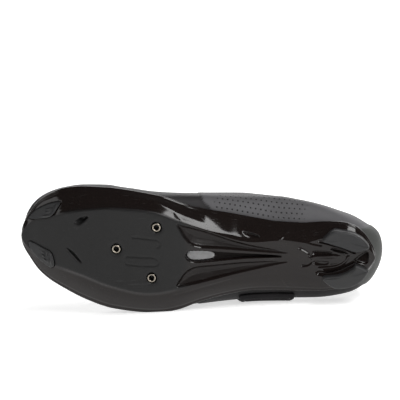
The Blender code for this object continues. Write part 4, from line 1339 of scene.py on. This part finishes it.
def upper_finish():
    look = Finish("coated_cloth", IOR=1.34)
    cloth = look.cloth()
    # Painted shade: below 3 to 5 cm over the floor the upper turns near black and its quarter loses its grey,
    # standing for the shade on the side the shoe lies on.
    height = look.put("ShaderNodeSeparateXYZ", {0: look.place})["Z"]
    medial = look.eased(height, 0.030, 0.050)
    quarter = look.times(look.mask("quarter"), medial)
    counter = look.mask("counter")
    lining = look.mask("lining")
    dots = look.use(DOTS, Place=cloth, Spacing=0.0040, Hole=0.00062)["Mask"]
    punched = look.times(dots, look.mask("holes"))
    weave = look.use(WEAVE, Place=cloth, Thread=0.0011)["Height"]
    grain = look.grain(0.0009)
    wear = look.wear()
    colour = look.mixed(quarter, VAMP_BLACK, QUARTER_GREY)
    colour = look.mixed(medial, UNDERSIDE_SHADE_BLACK, colour)
    colour = look.mixed(counter, colour, COUNTER_GREY)
    colour = look.tinted(colour, wear["Smudge"], 0.25, (0.050, 0.048, 0.050))
    colour = look.tinted(colour, look.mask("seam"), 0.5, (0.018, 0.017, 0.018))
    colour = look.tinted(colour, punched, 0.95, (0.008, 0.008, 0.008))
    colour = look.mixed(lining, colour, LINING_BLACK)
    woven = look.math("MAXIMUM", lining, look.times(counter, 0.6))
    pebbled = look.times(grain, look.math("SUBTRACT", 1.0, woven))
    normal = look.bump(look.math("ADD", pebbled, look.times(weave, woven)), 0.00011)
    normal = look.bump(look.math("SUBTRACT", 1.0, punched), 0.0004, Normal=normal)
    rough = look.math("ADD", look.spread(quarter, 0.56, 0.62), look.times(lining, 0.35), True)
    return look.done(Base_Color=colour, Roughness=rough, Normal=normal)


def strap_finish():
    look = Finish("strap_facing", IOR=1.22)
    grain = look.grain(0.0007)
    smudge = look.wear()["Smudge"]
    colour = look.mixed(smudge, (0.009, 0.0085, 0.009), (0.015, 0.014, 0.015))
    rough = look.spread(smudge, 0.75, 0.88)
    return look.done(Base_Color=colour, Roughness=rough, Normal=look.bump(grain, 0.0001))


def thread_finish():
    look = Finish("stitch_thread", IOR=1.45, Sheen_Weight=0.2)
    twist = look.noise(look.place, 3200.0, Detail=1.0)
    colour = look.mixed(twist, (0.03, 0.03, 0.031), (0.07, 0.07, 0.072))
    rough = look.spread(twist, 0.6, 0.8)
    return look.done(Base_Color=colour, Roughness=rough, Normal=look.bump(twist, 0.00005))


def lining_finish(name):
    look = Finish(name, IOR=1.45, Sheen_Weight=0.2, Sheen_Roughness=0.5)
    weave = look.use(WEAVE, Place=look.cloth(), Thread=0.0012)["Height"]
    wear = look.wear()
    colour = look.mixed(weave, (0.013, 0.013, 0.0135), (0.032, 0.032, 0.033))
    colour = look.tinted(colour, wear["Dust"], 0.4, (0.08, 0.08, 0.08))
    rough = look.spread(wear["Smudge"], 0.85, 0.95)
    return look.done(Base_Color=colour, Roughness=rough, Normal=look.bump(weave, 0.0003))


FLOOR_DEPTH = 1.6
COVE_RADIUS = 0.5
COVE_HEIGHT = 0.9
FLOOR_HALF = 2.6
FLOOR_FRONT = -3.2
FLOOR_WHITE = (0.86, 0.86, 0.855)
FLOOR_PALE = (0.87, 0.87, 0.865)
FLOOR_GLOW = 0.62


def studio_floor():
    """Pale floor that curves up into a backdrop behind the shoe."""
    profile = [(FLOOR_FRONT, 0.0), (FLOOR_DEPTH - COVE_RADIUS, 0.0)]
    for angle in np.linspace(0, np.pi / 2, 17)[1:]:
        across_cove = FLOOR_DEPTH - COVE_RADIUS + COVE_RADIUS * np.sin(angle)
        profile.append((across_cove, COVE_RADIUS * (1 - np.cos(angle))))
    profile.append((FLOOR_DEPTH, COVE_HEIGHT))
    points = []
    for x in (-FLOOR_HALF, FLOOR_HALF):
        points += [(x, y, z) for y, z in profile]
    count = len(profile)
    faces = [(i, i + count, i + count + 1, i + 1) for i in range(count - 1)]
    mesh = bpy.data.meshes.new("studio_floor")
    mesh.from_pydata(points, [], faces)
    mesh.polygons.foreach_set("use_smooth", [True] * len(mesh.polygons))
    floor = bpy.data.objects.new("studio_floor", mesh)
    bpy.context.scene.collection.objects.link(floor)
    white = (1.0, 1.0, 1.0, 1.0)
    glow = {"Emission_Color": white, "Emission_Strength": FLOOR_GLOW}
    look = Finish("studio_paper", Roughness=0.9, Specular_IOR_Level=0.0, **glow)
    shade = look.ranged(look.noise(look.place, 3.0), 0.3, 0.7)
    mesh.materials.append(look.done(Base_Color=look.mixed(shade, FLOOR_WHITE, FLOOR_PALE)))


LAMP_TARGET = Vector((0.0, 0.0, 0.05))
DIM_WORLD = 0.08


def way_to(turn, height):
    """Direction turn degrees round from the camera's side and height degrees up."""
    turn = np.radians(turn)
    height = np.radians(height)
    return Vector((np.sin(turn) * np.cos(height), -np.cos(turn) * np.cos(height), np.sin(height)))


def lamp(name, way, length, away, size, radiance):
    """Soft rectangular light that lies that way from the shoe, with its long side along length."""
    light = bpy.data.lights.new(name, "AREA")
    light.shape = "RECTANGLE"
    light.size, light.size_y = size
    light.energy = radiance * np.pi * size[0] * size[1]
    obj = bpy.data.objects.new(name, light)
    back = way.normalized()
    side = (length - back * length.dot(back)).normalized()
    turn = Matrix((side, back.cross(side), back)).transposed().to_4x4()
    obj.matrix_world = Matrix.Translation(LAMP_TARGET + back * away) @ turn
    bpy.context.scene.collection.objects.link(obj)


def studio_lights():
    low_end = way_to(26.0, 23.0)
    high_end = way_to(84.0, 61.0)
    level = Vector((1.0, 0.0, 0.0))
    lamp("key_strip", low_end + high_end, high_end - low_end, 1.3, (1.35, 0.34), 9.5)
    lamp("toe_box", way_to(-68.0, 20.0), Vector((0.0, 1.0, 0.0)), 1.2, (0.55, 0.40), 1.8)
    lamp("rear_box", way_to(180.0, 30.0), level, 1.5, (2.2, 0.5), 3.0)
    world = bpy.data.worlds.new("dim_studio")
    world.use_nodes = True
    background = world.node_tree.nodes["Background"]
    background.inputs["Color"].default_value = (1.0, 1.0, 1.0, 1.0)
    background.inputs["Strength"].default_value = DIM_WORLD
    bpy.context.scene.world = world
    bpy.context.scene.view_settings.view_transform = "Standard"
    bpy.context.scene.view_settings.look = "None"


# Camera, in the shoe's own frame: what it looks at, the way to it, and its right and up.
CAMERA_TARGET = Vector((0.140, 0.0, 0.015))
CAMERA_AWAY = 1.5
TO_CAMERA = Vector((-0.06104854, 0.24147066, -0.96848593))
CAMERA_RIGHT = Vector((-0.99727954, 0.02540232, 0.06919706))
CAMERA_UP = Vector((0.04131085, 0.97007559, 0.23926298))
PICTURE_SIDE = 400
FOCAL_PIXELS = 1941.0
PICTURE_MIDDLE = (199.455, 248.635)
SENSOR_MM = 36.0


def photo_camera():
    """Camera at the photograph's angle to the shoe, turned so that the picture's middle is its axis."""
    sideways = (PICTURE_SIDE / 2 - PICTURE_MIDDLE[0]) / FOCAL_PIXELS
    upwards = (PICTURE_MIDDLE[1] - PICTURE_SIDE / 2) / FOCAL_PIXELS
    ahead = (CAMERA_RIGHT * sideways + CAMERA_UP * upwards - TO_CAMERA).normalized()
    right = (CAMERA_RIGHT - ahead * CAMERA_RIGHT.dot(ahead)).normalized()
    up = right.cross(ahead)
    data = bpy.data.cameras.new("photo_camera")
    data.sensor_width = SENSOR_MM
    data.lens = FOCAL_PIXELS / PICTURE_SIDE * SENSOR_MM
    data.clip_start = 0.05
    camera = bpy.data.objects.new("photo_camera", data)
    turn = Matrix((right, up, -ahead)).transposed().to_4x4()
    where = Matrix.Translation(CAMERA_TARGET + TO_CAMERA * CAMERA_AWAY)
    camera.matrix_world = PLACE @ where @ turn
    bpy.context.scene.collection.objects.link(camera)
    bpy.context.scene.camera = camera


photo_camera()
sole()
tread_blocks()
sleeves()
slot_mesh()
upper()
insole()
tongue()
strap("instep", STRAP_INSTEP, STRAP_ENDS["instep"])
strap("forefoot", STRAP_FOREFOOT, STRAP_ENDS["forefoot"])
studio_floor()
studio_lights()
